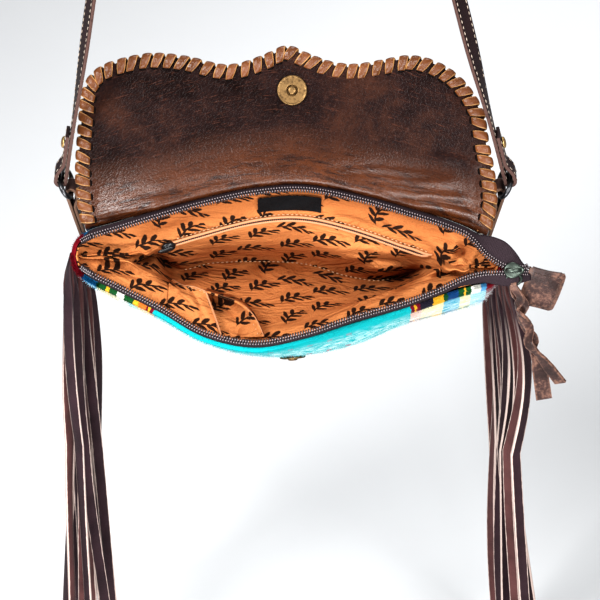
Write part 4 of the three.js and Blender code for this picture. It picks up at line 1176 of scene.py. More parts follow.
def flap_edge():
    """Points along the flap's free edge, from low on the left side over the top and down the right side."""
    left = [flap_point(-1, mix(0.24, 1, i / 60)) for i in range(60)]
    top = [flap_point(math.sin((i / 240 * 2 - 1) * math.pi / 2), 1) for i in range(241)]
    right = [flap_point(1, mix(1, 0.26, i / 60)) for i in range(1, 61)]
    return [p for p in left + top + right if p.z > FLAP_PLANE - 0.3]


class FLAPBAG_OT_lacing(FlapBagOperator, bpy.types.Operator):
    """Whips the lace round the flap's free edge"""

    bl_idname = "flap_bag.lacing"
    bl_label = "Lacing"

    def execute(self, context):
        points = flap_edge()
        lengths = lengths_along(points)
        width = self.sizes.lace_width / MM
        turns = int(lengths[-1] / (self.sizes.lace_pitch / MM))
        # One turn of the lace, as (in from the flap's edge, out from the middle of its leather)
        profile = [
            (7.0, 0.7), (6.5, 1.7), (5.0, 2.4), (3.0, 2.7), (1.0, 2.6), (-0.6, 2.1), (-1.6, 1.1), (-1.9, 0),
        ]
        profile += [(i, -n) for i, n in reversed(profile[:-1])]
        bm = bmesh.new()
        hole_shades = bmesh.new()
        for k in range(turns):
            at = (k + 0.5) * lengths[-1] / turns
            slip = (scatter(k, 0.618) - 0.5) * 0.9
            lift = (scatter(k, 0.414) - 0.5) * 0.35
            lean = 0.36 + (scatter(k, 0.732) - 0.5) * 0.22
            centre, direction = along_line(points, lengths, at + slip)
            inward = direction.cross(Vector((0, 0, 1))).normalized()

            def place(a, b):
                i, n = profile[round(b * (len(profile) - 1))]
                crown = 0.7 * (1 - (2 * a - 1) ** 2)
                narrow = 1 - 0.3 * smooth_step(3.5, 7.0, i)
                shift = -(i + 2) * lean * (1 if n >= 0 else -1) + (a - 0.5) * width * narrow
                out = n + math.copysign(crown + lift, n) if abs(n) > 0.01 else n
                reach = i - (crown * 0.8 if i < 0 else 0)
                return bag(centre + inward * reach + direction * shift + Vector((0, 0, out)))

            lay_grid(bm, 6, len(profile) - 1, place)
            # A flat dark bead at each lace hole is painted shade inside the hole.
            spot = centre + inward * 7.1 - direction * (7.1 + 2) * lean + Vector((0, 0, LEATHER / 2 + 0.12))
            lay_bead(hole_shades, bag(spot), BAG_TURN @ direction, BAG_TURN @ inward, (0.0046, 0.0022, 0.0003))
        lace = cut_leather("lace_leather", self.colours.lace, self.colours.lace_edge, 0.15, 0.26, shine=0.3)
        lacing = make_piece("flap_lacing", bm, lace, ["flap_lacing"])
        thicken(lacing, 0.0009, -1.0)
        subdivide(lacing)
        deep, edge = shade(self.colours.flap, 0.2), shade(self.colours.flap, 0.3)
        dark = cut_leather("lace_hole_shade", deep, edge, 0.1, 0.7)
        make_piece("flap_lace_hole_shade", hole_shades, dark)
        return {"FINISHED"}


class FLAPBAG_OT_snap(FlapBagOperator, bpy.types.Operator):
    """Builds both halves of the magnetic snap"""

    bl_idname = "flap_bag.snap"
    bl_label = "Snap"

    def execute(self, context):
        # Each half as (radius, height), from the middle of its back round to the middle of its face
        socket = [
            (0, 0), (9.0, 0), (9.05, 1.2), (8.85, 1.8), (8.5, 2.05), (8.1, 2.0), (7.9, 1.85), (7.5, 1.85),
            (4.0, 1.9), (3.4, 1.85), (3.15, 1.4), (3.05, 0.7), (2.75, 0.6), (2.6, 1.0), (2.5, 1.6),
            (2.2, 1.95), (1.5, 2.1), (0, 2.15),
        ]
        post = [
            (0, 0), (7.9, 0), (8, 0.4), (7.8, 0.9), (7.2, 1.15), (3.2, 1.2), (3, 1.5), (2.9, 2.2),
            (2.4, 2.5), (0, 2.6),
        ]
        brass = worn_metal("snap_brass", (0.2, 0.122, 0.053), (0.03, 0.018, 0.01), 0.34, 0.9)
        seat = bag((SNAP_X, SNAP_Y, FLAP_PLANE + LEATHER / 2 + 0.25))
        bm = bmesh.new()
        lay_turned(bm, socket, seat, BAG_TURN @ Vector((0, 0, 1)), 64)
        make_piece("snap_socket", bm, brass, ["snap_socket"])
        seat = bag(cloth_outer("front", SNAP_X, SNAP_DEPTH, 0.45))
        bm = bmesh.new()
        lay_turned(bm, post, seat, BAG_TURN @ cloth_normal("front", SNAP_X, SNAP_DEPTH), 48)
        make_piece("snap_post", bm, brass, ["snap_post"])
        return {"FINISHED"}


TapeEdge = namedtuple("TapeEdge", "x y")
# Outer edges of the two tapes past the mouth's right end, where they run on into the end tab
TAPE_TAIL = {
    "back": [
        TapeEdge(112, 12.6), TapeEdge(119, 12), TapeEdge(125, 10.5), TapeEdge(130, 8),
        TapeEdge(134, 4), TapeEdge(137, 0), TapeEdge(140, -4.5), TapeEdge(145, -8),
    ],
    "front": [
        TapeEdge(100, -18), TapeEdge(106, -17.2), TapeEdge(117, -15.6), TapeEdge(124, -17),
        TapeEdge(132, -17.8), TapeEdge(136, -16.6), TapeEdge(140, -15.5), TapeEdge(145, -14),
    ],
}


def zip_station(side, x):
    """Where a tape's outer edge and toothed edge run at x."""
    close = smooth_step(88, 127, x) if side == "front" else smooth_step(104, 134, x)
    rim = read(RIM, min(x, 118), side)
    lean = 1.4 if side == "front" else -0.8
    centre = mix(seam_y(x), SLIDER.y, close)
    teeth = mix(rim - 1.2 - lean, 2.2, close)
    foot = rim_z(min(x, HALF)) + 1
    sink = 9 * smooth_step(134, 151, x) + 7 * smooth_step(-114, -123, x)
    over = -0.3 if side == "front" else 2.8
    sewn = seam_y(x) + OUTWARD[side] * (rim + over)
    tail = TAPE_TAIL[side]
    sewn = mix(sewn, read(tail, x, "y"), smooth_step(tail[0].x - 6, tail[0].x + 6, x))
    outer = Vector((x, sewn, foot + 0.2 + 1.6 * close - sink))
    return outer, Vector((x, centre + OUTWARD[side] * teeth, foot + mix(7, 4, close) - sink))


class FLAPBAG_OT_main_zipper(FlapBagOperator, bpy.types.Operator):
    """Builds the open main zipper's tapes and teeth"""

    bl_idname = "flap_bag.main_zipper"
    bl_label = "Main zipper"

    def execute(self, context):
        tape_cloth = zip_tape_cloth(self.colours)
        metal = glossy_teeth("zip_teeth", (0.016, 0.012, 0.014))
        pale = thread("zip_thread_and_highlight", (0.42, 0.34, 0.35))
        for side in ("front", "back"):
            start, end = -122, 145

            def place(a, b):
                outer, edge = zip_station(side, mix(start, end, b))
                arch = 0.5 * math.sin(math.pi * a) + 0.25 * math.sin(b * 70) * (1 - a)
                return bag(outer.lerp(edge, mix(0, 1.04, a)) + Vector((0, 0, arch)))

            bm = bmesh.new()
            lay_grid(bm, 8, 170, place, (1.0, (end - start) * MM))
            tape = make_piece(f"zipper_tape_{side}", bm, tape_cloth, [f"zipper_tape_{side}"])
            thicken(tape, 0.0008)
            line = [zip_station(side, mix(start, end - 2, i / 300)) for i in range(301)]
            edges = []
            for outer, edge in line:
                reach = (edge - outer).normalized()
                flatter = Vector((0, reach.y, reach.z * 0.4)).normalized()
                edges.append(edge + flatter * 0.9 + Vector((0, 0, 0.4)))
            lengths = lengths_along(edges)
            bm = bmesh.new()
            stitches = bmesh.new()
            count = int(lengths[-1] / (self.sizes.tooth_pitch / MM))
            for k in range(count):
                at = (k + 0.5) * lengths[-1] / count
                point, direction = along_line(edges, lengths, at)
                across = Vector((0, -OUTWARD[side], 0.25))
                across = (across - direction * across.dot(direction)).normalized()
                up = across.cross(direction).normalized()
                up = up if up.z > 0 else -up
                turned = (BAG_TURN @ across, BAG_TURN @ direction)
                lay_block(bm, bag(point), *turned, (0.0034, 0.0011, 0.0022))
                # Pale beads along the teeth: partly sewing thread, partly painted highlight on the coil.
                for shift in (-0.95, 0.75):
                    spot = point + across * shift + up * 1.15 + direction * 0.35 * math.copysign(1, shift)
                    lay_bead(stitches, bag(spot), *turned, (0.0008, 0.0006, 0.0006))
            chamfer = {"offset": 0.0003, "affect": "EDGES", "segments": 1, "profile": 0.5, "material": -1}
            bmesh.ops.bevel(bm, geom=bm.edges[:], **chamfer)
            make_piece(f"zipper_teeth_{side}", bm, metal, [f"zipper_teeth_{side}"])
            make_piece(f"zipper_thread_{side}", stitches, pale)
        return {"FINISHED"}


END_TAB_TURN = Matrix.Rotation(math.radians(40), 3, "X") @ Matrix.Rotation(math.radians(-15), 3, "Z")
END_TAB_PLACE = Vector((151.5, -19.6, -9.3))
BAIL_CENTRE = SLIDER + Vector((0, -1.7, 3.3)) + DOWN * BAIL_RADIUS
# Places along a strand of the pull, from the bail down: its turn in degrees and its share of the full width
Station = namedtuple("Station", "down aside forward turn share")
PULL_WIDTH = 5.6
PULL_CLEAR = 2.3
PULL_TOP = [
    Station(-PULL_CLEAR, 0, 0, 0, 0.5),
    Station(-0.75 * PULL_CLEAR, 0, 0.75 * PULL_CLEAR, 0, 0.55),
    Station(0, 0, PULL_CLEAR, 0, 0.8),
]
PULL_FRONT = [
    Station(9, 4.5, 2.6, 35, 0.95),
    Station(18, 2.5, 1.2, 80, 0.9),
    Station(27, 7.5, 2.2, 20, 0.95),
    Station(36, 11, 1.6, -40, 0.95),
    Station(46, 10.5, 2.4, -10, 1),
    Station(55, 15.5, 1.6, 30, 0.9),
    Station(61, 20, 2.2, 25, 1.15),
    Station(69, 25, 2.8, 20, 1.4),
    Station(80, 31.5, 2.6, 18, 1.4),
]
PULL_REAR = [
    Station(9, 1.5, 1.6, -30, 0.95),
    Station(18, 7.5, 1.8, -10, 0.95),
    Station(27, 5, 1.4, 60, 0.9),
    Station(36, 8, 1.8, 35, 0.95),
    Station(46, 14, 1.2, 0, 1),
    Station(55, 14, 1.4, -35, 0.9),
    Station(63, 17, 1.0, -12, 1.3),
    Station(74, 19, 1.6, -6, 1.7),
    Station(98, 22.5, 1.8, -4, 1.75),
]


def end_tab_point(px, py, lift):
    """A place on the folded tab at the zipper's tail, px across and py up it, in millimetres."""
    bow = 1.0 * math.sin(math.pi * (py / 28 + 0.5)) + 0.5 * math.sin(0.22 * px + 0.11 * py)
    return END_TAB_PLACE + END_TAB_TURN @ Vector((px, py, bow + lift - 1.2))


class FLAPBAG_OT_zip_slider(FlapBagOperator, bpy.types.Operator):
    """Builds the slider, its thong and the tab on the zipper's tail"""

    bl_idname = "flap_bag.zip_slider"
    bl_label = "Slider, pull and end tab"

    def execute(self, context):
        worn = worn_leather("pull_leather", self.colours.tab, (0.19, 0.1, 0.07))
        self.slider()
        self.pull(worn)
        self.end_tab(worn)
        return {"FINISHED"}

    def slider(self):
        """Builds the slider's two plates with a neck between them, the arch on top and the wire bail."""
        bm = bmesh.new()
        for height, long, wide in ((1.0, 6.0, 4.9), (4.4, 6.2, 5.0)):
            shape = Matrix.Translation((0, 0, height)) @ Matrix.Diagonal((long, wide, 1.0, 1))
            plate = bmesh.ops.create_uvsphere(bm, u_segments=28, v_segments=14, radius=1, matrix=shape)
            for v in plate["verts"]:
                v.co.y *= 1 - 0.42 * smooth_step(-2, 6, v.co.x)
        lay_block(bm, Vector((0, 0, 2.7)), Vector((1, 0, 0)), Vector((0, 1, 0)), (3.2, 4.0, 3.0))

        def arch(a, b):
            turn, spin = math.pi * b, 2 * math.pi * a
            spoke = Vector((math.cos(turn) * 4.2, 0, math.sin(turn) * 2.6))
            out = Vector((math.cos(turn), 0, math.sin(turn))) * 0.9 * math.cos(spin)
            return Vector((-0.4, 0, 4.9)) + spoke + out + Vector((0, 1.4 * math.sin(spin), 0))

        lay_grid(bm, 10, 20, arch)
        for v in bm.verts:
            v.co = bag(v.co + SLIDER)

        def bail(a, b):
            turn, spin = 2 * math.pi * b, 2 * math.pi * a
            spoke = DOWN * math.cos(turn) + Vector((1, 0, 0)) * math.sin(turn)
            ring = spoke * (BAIL_RADIUS + BAIL_WIRE * math.cos(spin))
            return bag(BAIL_CENTRE + ring + FORWARD * BAIL_WIRE * math.sin(spin))

        lay_grid(bm, 10, 40, bail)
        for face in bm.faces:
            face.smooth = True
        gunmetal = worn_metal("slider_metal", (0.075, 0.092, 0.078), (0.02, 0.025, 0.021), 0.26)
        make_piece("zipper_slider", bm, gunmetal, ["zipper_slider"], weld=True)

    def pull(self, worn):
        """Hangs a thong from the bail, in two strands that twist round each other and part."""
        bm = bmesh.new()
        hole = BAIL_CENTRE + DOWN * BAIL_RADIUS
        for sign, rows in ((1, PULL_TOP + PULL_FRONT), (-1, PULL_TOP + PULL_REAR)):
            line = [
                hole + DOWN * row.down * 0.94 + Vector((row.aside, 0, 0)) + FORWARD * sign * row.forward
                for row in rows
            ]

            def place(a, b):
                at = b * (len(rows) - 1)
                i = min(int(at), len(rows) - 2)
                turn = math.radians(mix(rows[i].turn, rows[i + 1].turn, at - i))
                slope = line[i + 1] - line[i]
                wide = Matrix.Rotation(turn, 3, DOWN) @ Vector((1, 0, 0))
                wide = (wide - slope * wide.dot(slope) / slope.length_squared).normalized()
                width = PULL_WIDTH * mix(rows[i].share, rows[i + 1].share, smooth_step(0, 1, at - i))
                return bag(curve(line, b) + wide * width * (a - 0.5))

            lay_grid(bm, 8, 12 * (len(rows) - 1), place)
        thong = make_piece("zipper_pull", bm, worn, ["zipper_pull"])
        thicken(thong, 0.0017)
        round_edges(thong, 0.0003)

    def end_tab(self, worn):
        """Builds the folded tab on the zipper's tail, stitched along three sides."""
        bm = bmesh.new()

        def place(a, b):
            px, py = (a - 0.5) * 22, (b - 0.5) * 28
            corner = max(0.0, abs(px) - 9.5) * max(0.0, abs(py) - 12.5)
            puff = 0.8 * (1 - (2 * a - 1) ** 8) * (1 - (2 * b - 1) ** 8)
            return bag(end_tab_point(px * (1 - 0.05 * corner), py * (1 - 0.04 * corner), puff))

        lay_grid(bm, 24, 28, place)
        tab = make_piece("zipper_end_tab", bm, worn, ["zipper_end_tab"])
        thicken(tab, 0.0032)
        round_edges(tab, 0.0009, 3)
        stitches = bmesh.new()
        turn = BAG_TURN @ END_TAB_TURN
        corners = [(-8.6, -11.8), (8.6, -11.8), (8.6, 11.8), (-8.6, 11.8)]
        for (ax, ay), (bx, by), count in zip(corners, corners[1:], (6, 8, 6)):
            along = Vector((bx - ax, by - ay, 0)).normalized()
            turned = (turn @ along, turn @ Vector((-along.y, along.x, 0)))
            for k in range(count):
                t = (k + 0.5) / count
                spot = end_tab_point(mix(ax, bx, t), mix(ay, by, t), 2.45)
                lay_bead(stitches, bag(spot), *turned, (0.0021, 0.0007, 0.0006))
        make_piece("end_tab_stitches", stitches, thread("tab_thread", (0.07, 0.04, 0.03)))


# The slip pocket's hem where it gapes, and the edge of its slack layer beside the gap
SLIP_HEM = [(-49, -21, -23), (-38, -24.5, -25), (-28, -28.5, -25), (-20, -36, -20), (-14, -48, -11)]
SLIP_LIP = [(-49, -21, -22), (-46, -29, -20), (-42.5, -38, -15), (-39, -48.5, -8)]


class FLAPBAG_OT_inner_pockets(FlapBagOperator, bpy.types.Operator):
    """Builds the zip pocket's chain and slider, the slip pocket and the bare label"""

    bl_idname = "flap_bag.inner_pockets"
    bl_label = "Inner pockets and label"

    def execute(self, context):
        pale = thread("pocket_thread", (0.6, 0.36, 0.2))
        cord = thread("piping_cord", (0.52, 0.23, 0.105))
        self.zip_pocket(pale, cord)
        self.slip_pocket(pale, cord)
        self.label()
        return {"FINISHED"}

    def zip_pocket(self, pale, cord):
        """Lays the closed chain, its stitching, its piping and its slider on the back of the lining."""
        chain, stitches, piping = bmesh.new(), bmesh.new(), bmesh.new()
        steps = 200
        tooth, stitch, low_stitch = (0.0013, 0.001, 0.001), (0.0019, 0.0006, 0.0006), (0.0019, 0.0007, 0.0007)
        for depth, lift, group, size, pitch in (
            (22.3, 2.0, chain, tooth, 1.25),
            (23.5, 2.0, chain, tooth, 1.25),
            (18.9, 1.5, stitches, stitch, 2.7),
            (27.2, 1.5, stitches, stitch, 2.7),
            (152, 1.3, stitches, low_stitch, 2.9),
        ):
            line = lining_line("back", -68, 87, depth, lift, steps)
            lengths = lengths_along(line)
            for k in range(int(lengths[-1] / pitch)):
                point, direction = along_line(line, lengths, (k + 0.5) * pitch)
                across = direction.cross(LINING_FACE)
                lay_bead(group, bag(point), BAG_TURN @ direction, BAG_TURN @ across, size)
        coil = glossy_teeth("pocket_teeth", (0.03, 0.014, 0.01))
        make_piece("pocket_zipper", chain, coil, ["pocket_zipper"])
        make_piece("pocket_stitches", stitches, pale)
        for depth in (20.8, 25.1):
            lay_cord(piping, lining_line("back", -74, 89, depth, 2.0, steps), 0.85)
        make_piece("pocket_piping", piping, cord, weld=True)

        bm = bmesh.new()
        line = lining_line("back", -82, -62, 22.9, 2.6, 20)
        direction = (line[20] - line[0]).normalized()
        across = direction.cross(LINING_FACE)
        turned = (BAG_TURN @ direction, BAG_TURN @ across)
        lay_bead(bm, bag(line[9]), *turned, (0.0125, 0.0082, 0.0056))
        tongue = line[9] + across * 2.4 - direction * 1.5 + Vector((0, 0, 2.4))
        lay_bead(bm, bag(tongue), *turned, (0.0150, 0.0050, 0.0024))
        black = glossy_teeth("pocket_slider_black", (0.004, 0.004, 0.0045))
        slider = make_piece("pocket_slider", bm, black, ["pocket_slider"])
        subdivide(slider)

    def slip_pocket(self, pale, cord):
        """Builds the gaping pocket on the front of the lining from three sheets, with its hems."""
        bm = bmesh.new()
        left_side = [("front", -73, mix(84, 6, i / 16)) for i in range(17)]
        low_side = [("front", mix(-73, -39, i / 16), 6) for i in range(17)]
        left = [Vector(p) for p in lining_surface(left_side, 2.6)]
        low = [Vector(p) for p in lining_surface(low_side, 0.9)]
        top = [left[0], (-63, -17.4, -26), (-56, -18.4, -22.5), SLIP_LIP[0]]

        def layer(a, b):
            """The slack layer left of the gap, from the hem to the rim, spanned between its four edges."""
            along = curve(top, a) * (1 - b) + curve(low, a) * b
            aside = curve(left, b) * (1 - a) + curve(SLIP_LIP, b) * a
            top_corners = left[0] * (1 - a) + Vector(SLIP_LIP[0]) * a
            low_corners = low[0] * (1 - a) + Vector(SLIP_LIP[-1]) * a
            crease = 2.4 * math.exp(-(((a - 0.55 - 0.2 * b) / 0.09) ** 2))
            swell = (4.5 * math.sin(math.pi * a) - crease) * math.sin(math.pi * b)
            return along + aside - top_corners * (1 - b) - low_corners * b + Vector((0, 0, swell))

        def pouch(a, b):
            """The inside of the pocket where it gapes."""
            deep = curve(SLIP_LIP, a) + Vector((-3, 0, -8 - 20 * math.sin(math.pi * mix(0.06, 0.9, a))))
            crease = 2.5 * math.exp(-(((b - 0.5) / 0.1) ** 2))
            sag = (5 * math.sin(math.pi * b) - crease) * math.sin(math.pi * a)
            roll = 0.8 * math.exp(-((b / 0.08) ** 2))
            return curve(SLIP_HEM, a).lerp(deep, b) + Vector((0, 0, roll - sag))

        def outside(a, b):
            """The pocket's face towards the middle of the bag."""
            drop = mix(30, 14, a) * b
            swell = 1.2 * math.sin(math.pi * b) * math.sin(math.pi * a)
            return curve(SLIP_HEM, a) + Vector((0, 0.06 * drop + swell, -drop))

        uv = bm.loops.layers.uv.verify()
        painted_shade = bm.verts.layers.float.new("painted_shade")
        # Each sheet's rows, and the range of b over which painted shade darkens it, which lies past the end
        # of the first
        for shape, rows, dark_from, dark_to in (
            (layer, 40, 1.5, 2),
            (pouch, 24, 0.25, 0.75),
            (outside, 24, 0, 0.25),
        ):
            for v in lay_grid(bm, 40, rows, shape):
                v[painted_shade] = smooth_step(dark_from, dark_to, v.link_loops[0][uv].uv[1])
                for loop in v.link_loops:
                    loop[uv].uv = (v.co.x * MM, (v.co.y - 0.3 * v.co.z) * MM)
                v.co = bag(v.co)
        pocket = make_piece("slip_pocket", bm, bpy.data.materials["lining_print"], ["slip_pocket"])
        thicken(pocket, 0.001)
        stitches = bmesh.new()
        for shape, row, count in ((layer, 0.06, 9), (pouch, 0.1, 18)):
            edge = [shape(i / 200, row) for i in range(201)]
            for k in range(count):
                at = round(mix(6, 194, (k + 0.5) / count))
                spot = bag(edge[at] + Vector((0, 0, 0.6)))
                turned = (BAG_TURN @ (edge[at + 2] - edge[at - 2]), BAG_TURN @ Vector((0, 0, 1)))
                lay_bead(stitches, spot, *turned, (0.0017, 0.0006, 0.0006))
        make_piece("slip_pocket_stitches", stitches, pale)
        hem = bmesh.new()
        for edge in (top, SLIP_HEM, SLIP_LIP):
            lay_cord(hem, [curve(edge, i / 60) for i in range(61)], 0.7)
        make_piece("slip_pocket_hem", hem, cord, weld=True)

    def label(self):
        """Lays the bare label on the back of the lining."""
        bm = bmesh.new()
        lines = [lining_line("back", -18, 21, mix(3, 15, j / 12), 1.6, 40) for j in range(13)]

        def place(a, b):
            wave = 0.7 * math.sin(3.1 * math.pi * a + 0.5) * math.sin(math.pi * b)
            puff = wave + 0.3 * math.sin(9 * a + 4 * b)
            return bag(lines[round(b * 12)][round(a * 40)] + Vector((0, -0.3, 0.9)) * puff)

        lay_grid(bm, 40, 12, place, (0.039, 0.012))
        black = plain_cloth("label_cloth", (0.0025, 0.0025, 0.003), 9000)
        patch = make_piece("label", bm, black, ["label"])
        thicken(patch, 0.0006)
        subdivide(patch)


def looped(at, loop, close, tip, nip, opening, turning):
    """The middle line of a strap's end, from its tip to half a turn round a wire.

    at(along, aside) gives a point by its distances from the wire's middle. The tip lies close by the strap
    down to the nip, opens out to the loop in some steps, and turns round the wire in some more."""
    line = [at(mix(tip, nip, i / 6), close) for i in range(6)]
    for i in range(opening):
        line.append(at(mix(nip, 3, i / opening), mix(close, -loop, smooth_step(0, 1, i / opening))))
    for i in range(turning + 1):
        turn = math.pi * i / turning
        line.append(at(-loop * math.sin(turn), -loop * math.cos(turn)))
    return line


StrapLeg = namedtuple("StrapLeg", "points up inner centre angle")


def strap_leg(sign):
    """One side of the strap in the plane y = 0, from its folded tip round the ring and up to the peg."""
    centre = Vector((HANG_OFFSET + RING_X[sign], 0, -STRAP_DROP))
    to_peg = Vector((0, 0, -PEG_RADIUS)) - centre
    apart = STRAP_LOOP + PEG_LOOP
    angle = math.atan2(-sign * to_peg.x, to_peg.z) - math.asin(apart / to_peg.length)
    up = Vector((-sign * math.sin(angle), 0, math.cos(angle)))
    inner = Vector((-sign * math.cos(angle), 0, -math.sin(angle)))
    length = math.sqrt(to_peg.length_squared - apart**2)

    def at(along, aside):
        return centre + up * along + inner * aside

    points = looped(at, STRAP_LOOP, STRAP_CLOSE, tip=34, nip=14, opening=8, turning=14)
    points += [at(length * i / 50, STRAP_LOOP) for i in range(1, 51)]
    return StrapLeg(points, up, inner, centre, angle)


# A rivet's domed head, as shares of its radius and height
RIVET_HEAD = [(0, 0), (1, 0), (1, 0.3), (0.94, 0.5), (0.78, 0.76), (0.5, 0.93), (0, 1)]


class FLAPBAG_OT_strap(FlapBagOperator, bpy.types.Operator):
    """Builds the strap, its stitching, rivets, rings and tabs"""

    bl_idname = "flap_bag.strap"
    bl_label = "Strap and rings"

    def execute(self, context):
        legs = {sign: strap_leg(sign) for sign in (-1, 1)}
        self.band(legs)
        gunmetal = worn_metal("ring_metal", (0.09, 0.09, 0.095), (0.02, 0.02, 0.02), 0.22)
        brass = worn_metal("rivet_brass", (0.5, 0.33, 0.14), (0.12, 0.07, 0.03), 0.3)
        brown = cut_leather("tab_leather", self.colours.tab, (0.2, 0.12, 0.085), 0.07, 0.48)
        for sign, name in ((-1, "left"), (1, "right")):
            leg = legs[sign]
            rise = Vector((sign * math.sin(RING_TILT), 0, math.cos(RING_TILT)))
            self.ring(name, leg.centre - rise * RING_SPAN / 2, rise, gunmetal)
            self.rivet(name, leg, brass)
            self.tab(name, sign, leg.centre - rise * RING_SPAN, brown)
        return {"FINISHED"}

    def band(self, legs):
        """Lays the strap from one folded tip over the peg to the other, and stitches both its edges."""
        start, end = math.pi - legs[-1].angle, legs[1].angle
        turns = [mix(start, end, i / 24) for i in range(1, 24)]
        crown = [Vector((PEG_LOOP * math.cos(t), 0, PEG_LOOP * math.sin(t) - PEG_RADIUS)) for t in turns]
        points = legs[-1].points + crown + legs[1].points[::-1]
        half = len(legs[-1].points)
        last = len(points) - 1
        width = self.sizes.strap_width / MM

        def facing(i):
            """The strap's width direction, turned a little towards the front part way up each leg."""
            side = -1 if i < half else 1
            height = points[i].z
            share = smooth_step(-580, -500, height) * smooth_step(-40, -160, height)
            turn = math.radians((32 if side > 0 else 20) * share)
            along = (points[min(i + 1, last)] - points[max(i - 1, 0)]).normalized()
            across = Matrix.Rotation(-side * turn, 3, "Z") @ Vector((0, 1, 0))
            return (across - along * across.dot(along)).normalized()

        faces = [facing(i) for i in range(last + 1)]

        def place(a, b):
            i = round(b * last)
            return (points[i] + faces[i] * width * (a - 0.5)) * MM

        bm = bmesh.new()
        lay_grid(bm, 6, last, place, (1.0, 1.3))
        brown = cut_leather("strap_leather", self.colours.strap, (0.09, 0.05, 0.042), 0.04, 0.42)
        strap = make_piece("strap", bm, brown, ["strap"])
        thicken(strap, 0.0021)
        round_edges(strap, 0.0004)
        lengths = lengths_along(points)
        stitches = bmesh.new()
        pitch = self.sizes.stitch_pitch / MM
        for k in range(int(lengths[-1] / pitch)):
            at = (k + 0.5) * pitch
            point, along = along_line(points, lengths, at)
            across = faces[min(int(np.searchsorted(lengths, at)), last - 1)]
            up = along.cross(across).normalized()
            for edge in (-1, 1):
                for face in (-1, 1):
                    spot = point + across * edge * (width / 2 - 1.7) + up * face * STRAP_THICKNESS / 2
                    lay_bead(stitches, spot * MM, along, across, (0.003, 0.0007, 0.0005))
        make_piece("strap_stitches", stitches, thread("strap_thread", (0.55, 0.45, 0.36)))

    def ring(self, name, middle, rise, gunmetal):
        """Bends a round wire into a ring of two straight bars and two half turns."""
        radius = RING_SPAN / 2
        oval = []
        for y, first in ((RING_BAR / 2, 0.0), (-RING_BAR / 2, math.pi)):
            for i in range(17):
                turn = first + math.pi * i / 16
                aside = Vector((0, y + math.sin(turn) * radius, 0))
                oval.append(middle + aside + rise * math.cos(turn) * radius)
        oval.append(oval[0])
        flat = rise.cross(Vector((0, 1, 0)))
        size = len(oval) - 1

        def place(a, b):
            i = round(b * size) % size
            along = (oval[(i + 1) % size] - oval[i - 1]).normalized()
            out = along.cross(flat).normalized()
            spin = 2 * math.pi * a
            return (oval[i] + flat * RING_WIRE * math.cos(spin) + out * RING_WIRE * math.sin(spin)) * MM

        bm = bmesh.new()
        lay_grid(bm, 16, size, place)
        make_piece(f"strap_ring_{name}", bm, gunmetal, [f"strap_ring_{name}"], weld=True)

    def rivet(self, name, leg, brass):
        """Sets a domed rivet on the strap's folded tip."""
        head = [(RIVET_RADIUS * across, RIVET_HEIGHT * high) for across, high in RIVET_HEAD]
        face = STRAP_CLOSE - STRAP_THICKNESS / 2 - GAP
        seat = leg.centre + leg.up * RIVET_UP + leg.inner * face
        bm = bmesh.new()
        lay_turned(bm, head, seat * MM, -leg.inner, 32)
        make_piece(f"strap_rivet_{name}", bm, brass, [f"strap_rivet_{name}"])

    def tab(self, name, sign, bar, brown):
        """Folds a leather tab round the ring's lower bar, with its longer end down the back wall."""
        away = Vector((-sign * 0.24, 0, -1)).normalized()
        outer = Vector((-away.z, 0, away.x)) * sign
        loop = RING_WIRE + GAP + TAB_THICKNESS / 2 + 0.1
        reach = 50 if sign < 0 else 53

        def at(along, aside):
            return bar + away * along + outer * aside

        line = looped(at, loop, loop - TAB_THICKNESS - GAP, tip=30, nip=12, opening=6, turning=12)
        line += [at(mix(0, reach, i / 12), loop) for i in range(1, 13)]
        last = len(line) - 1

        def place(a, b):
            return (line[round(b * last)] + Vector((0, (a - 0.5) * TAB_WIDTH, 0))) * MM

        bm = bmesh.new()
        lay_grid(bm, 6, last, place, (1.0, 0.09))
        tab = make_piece(f"ring_tab_{name}", bm, brown, [f"ring_tab_{name}"])
        thicken(tab, 0.0019)
        round_edges(tab, 0.0004)


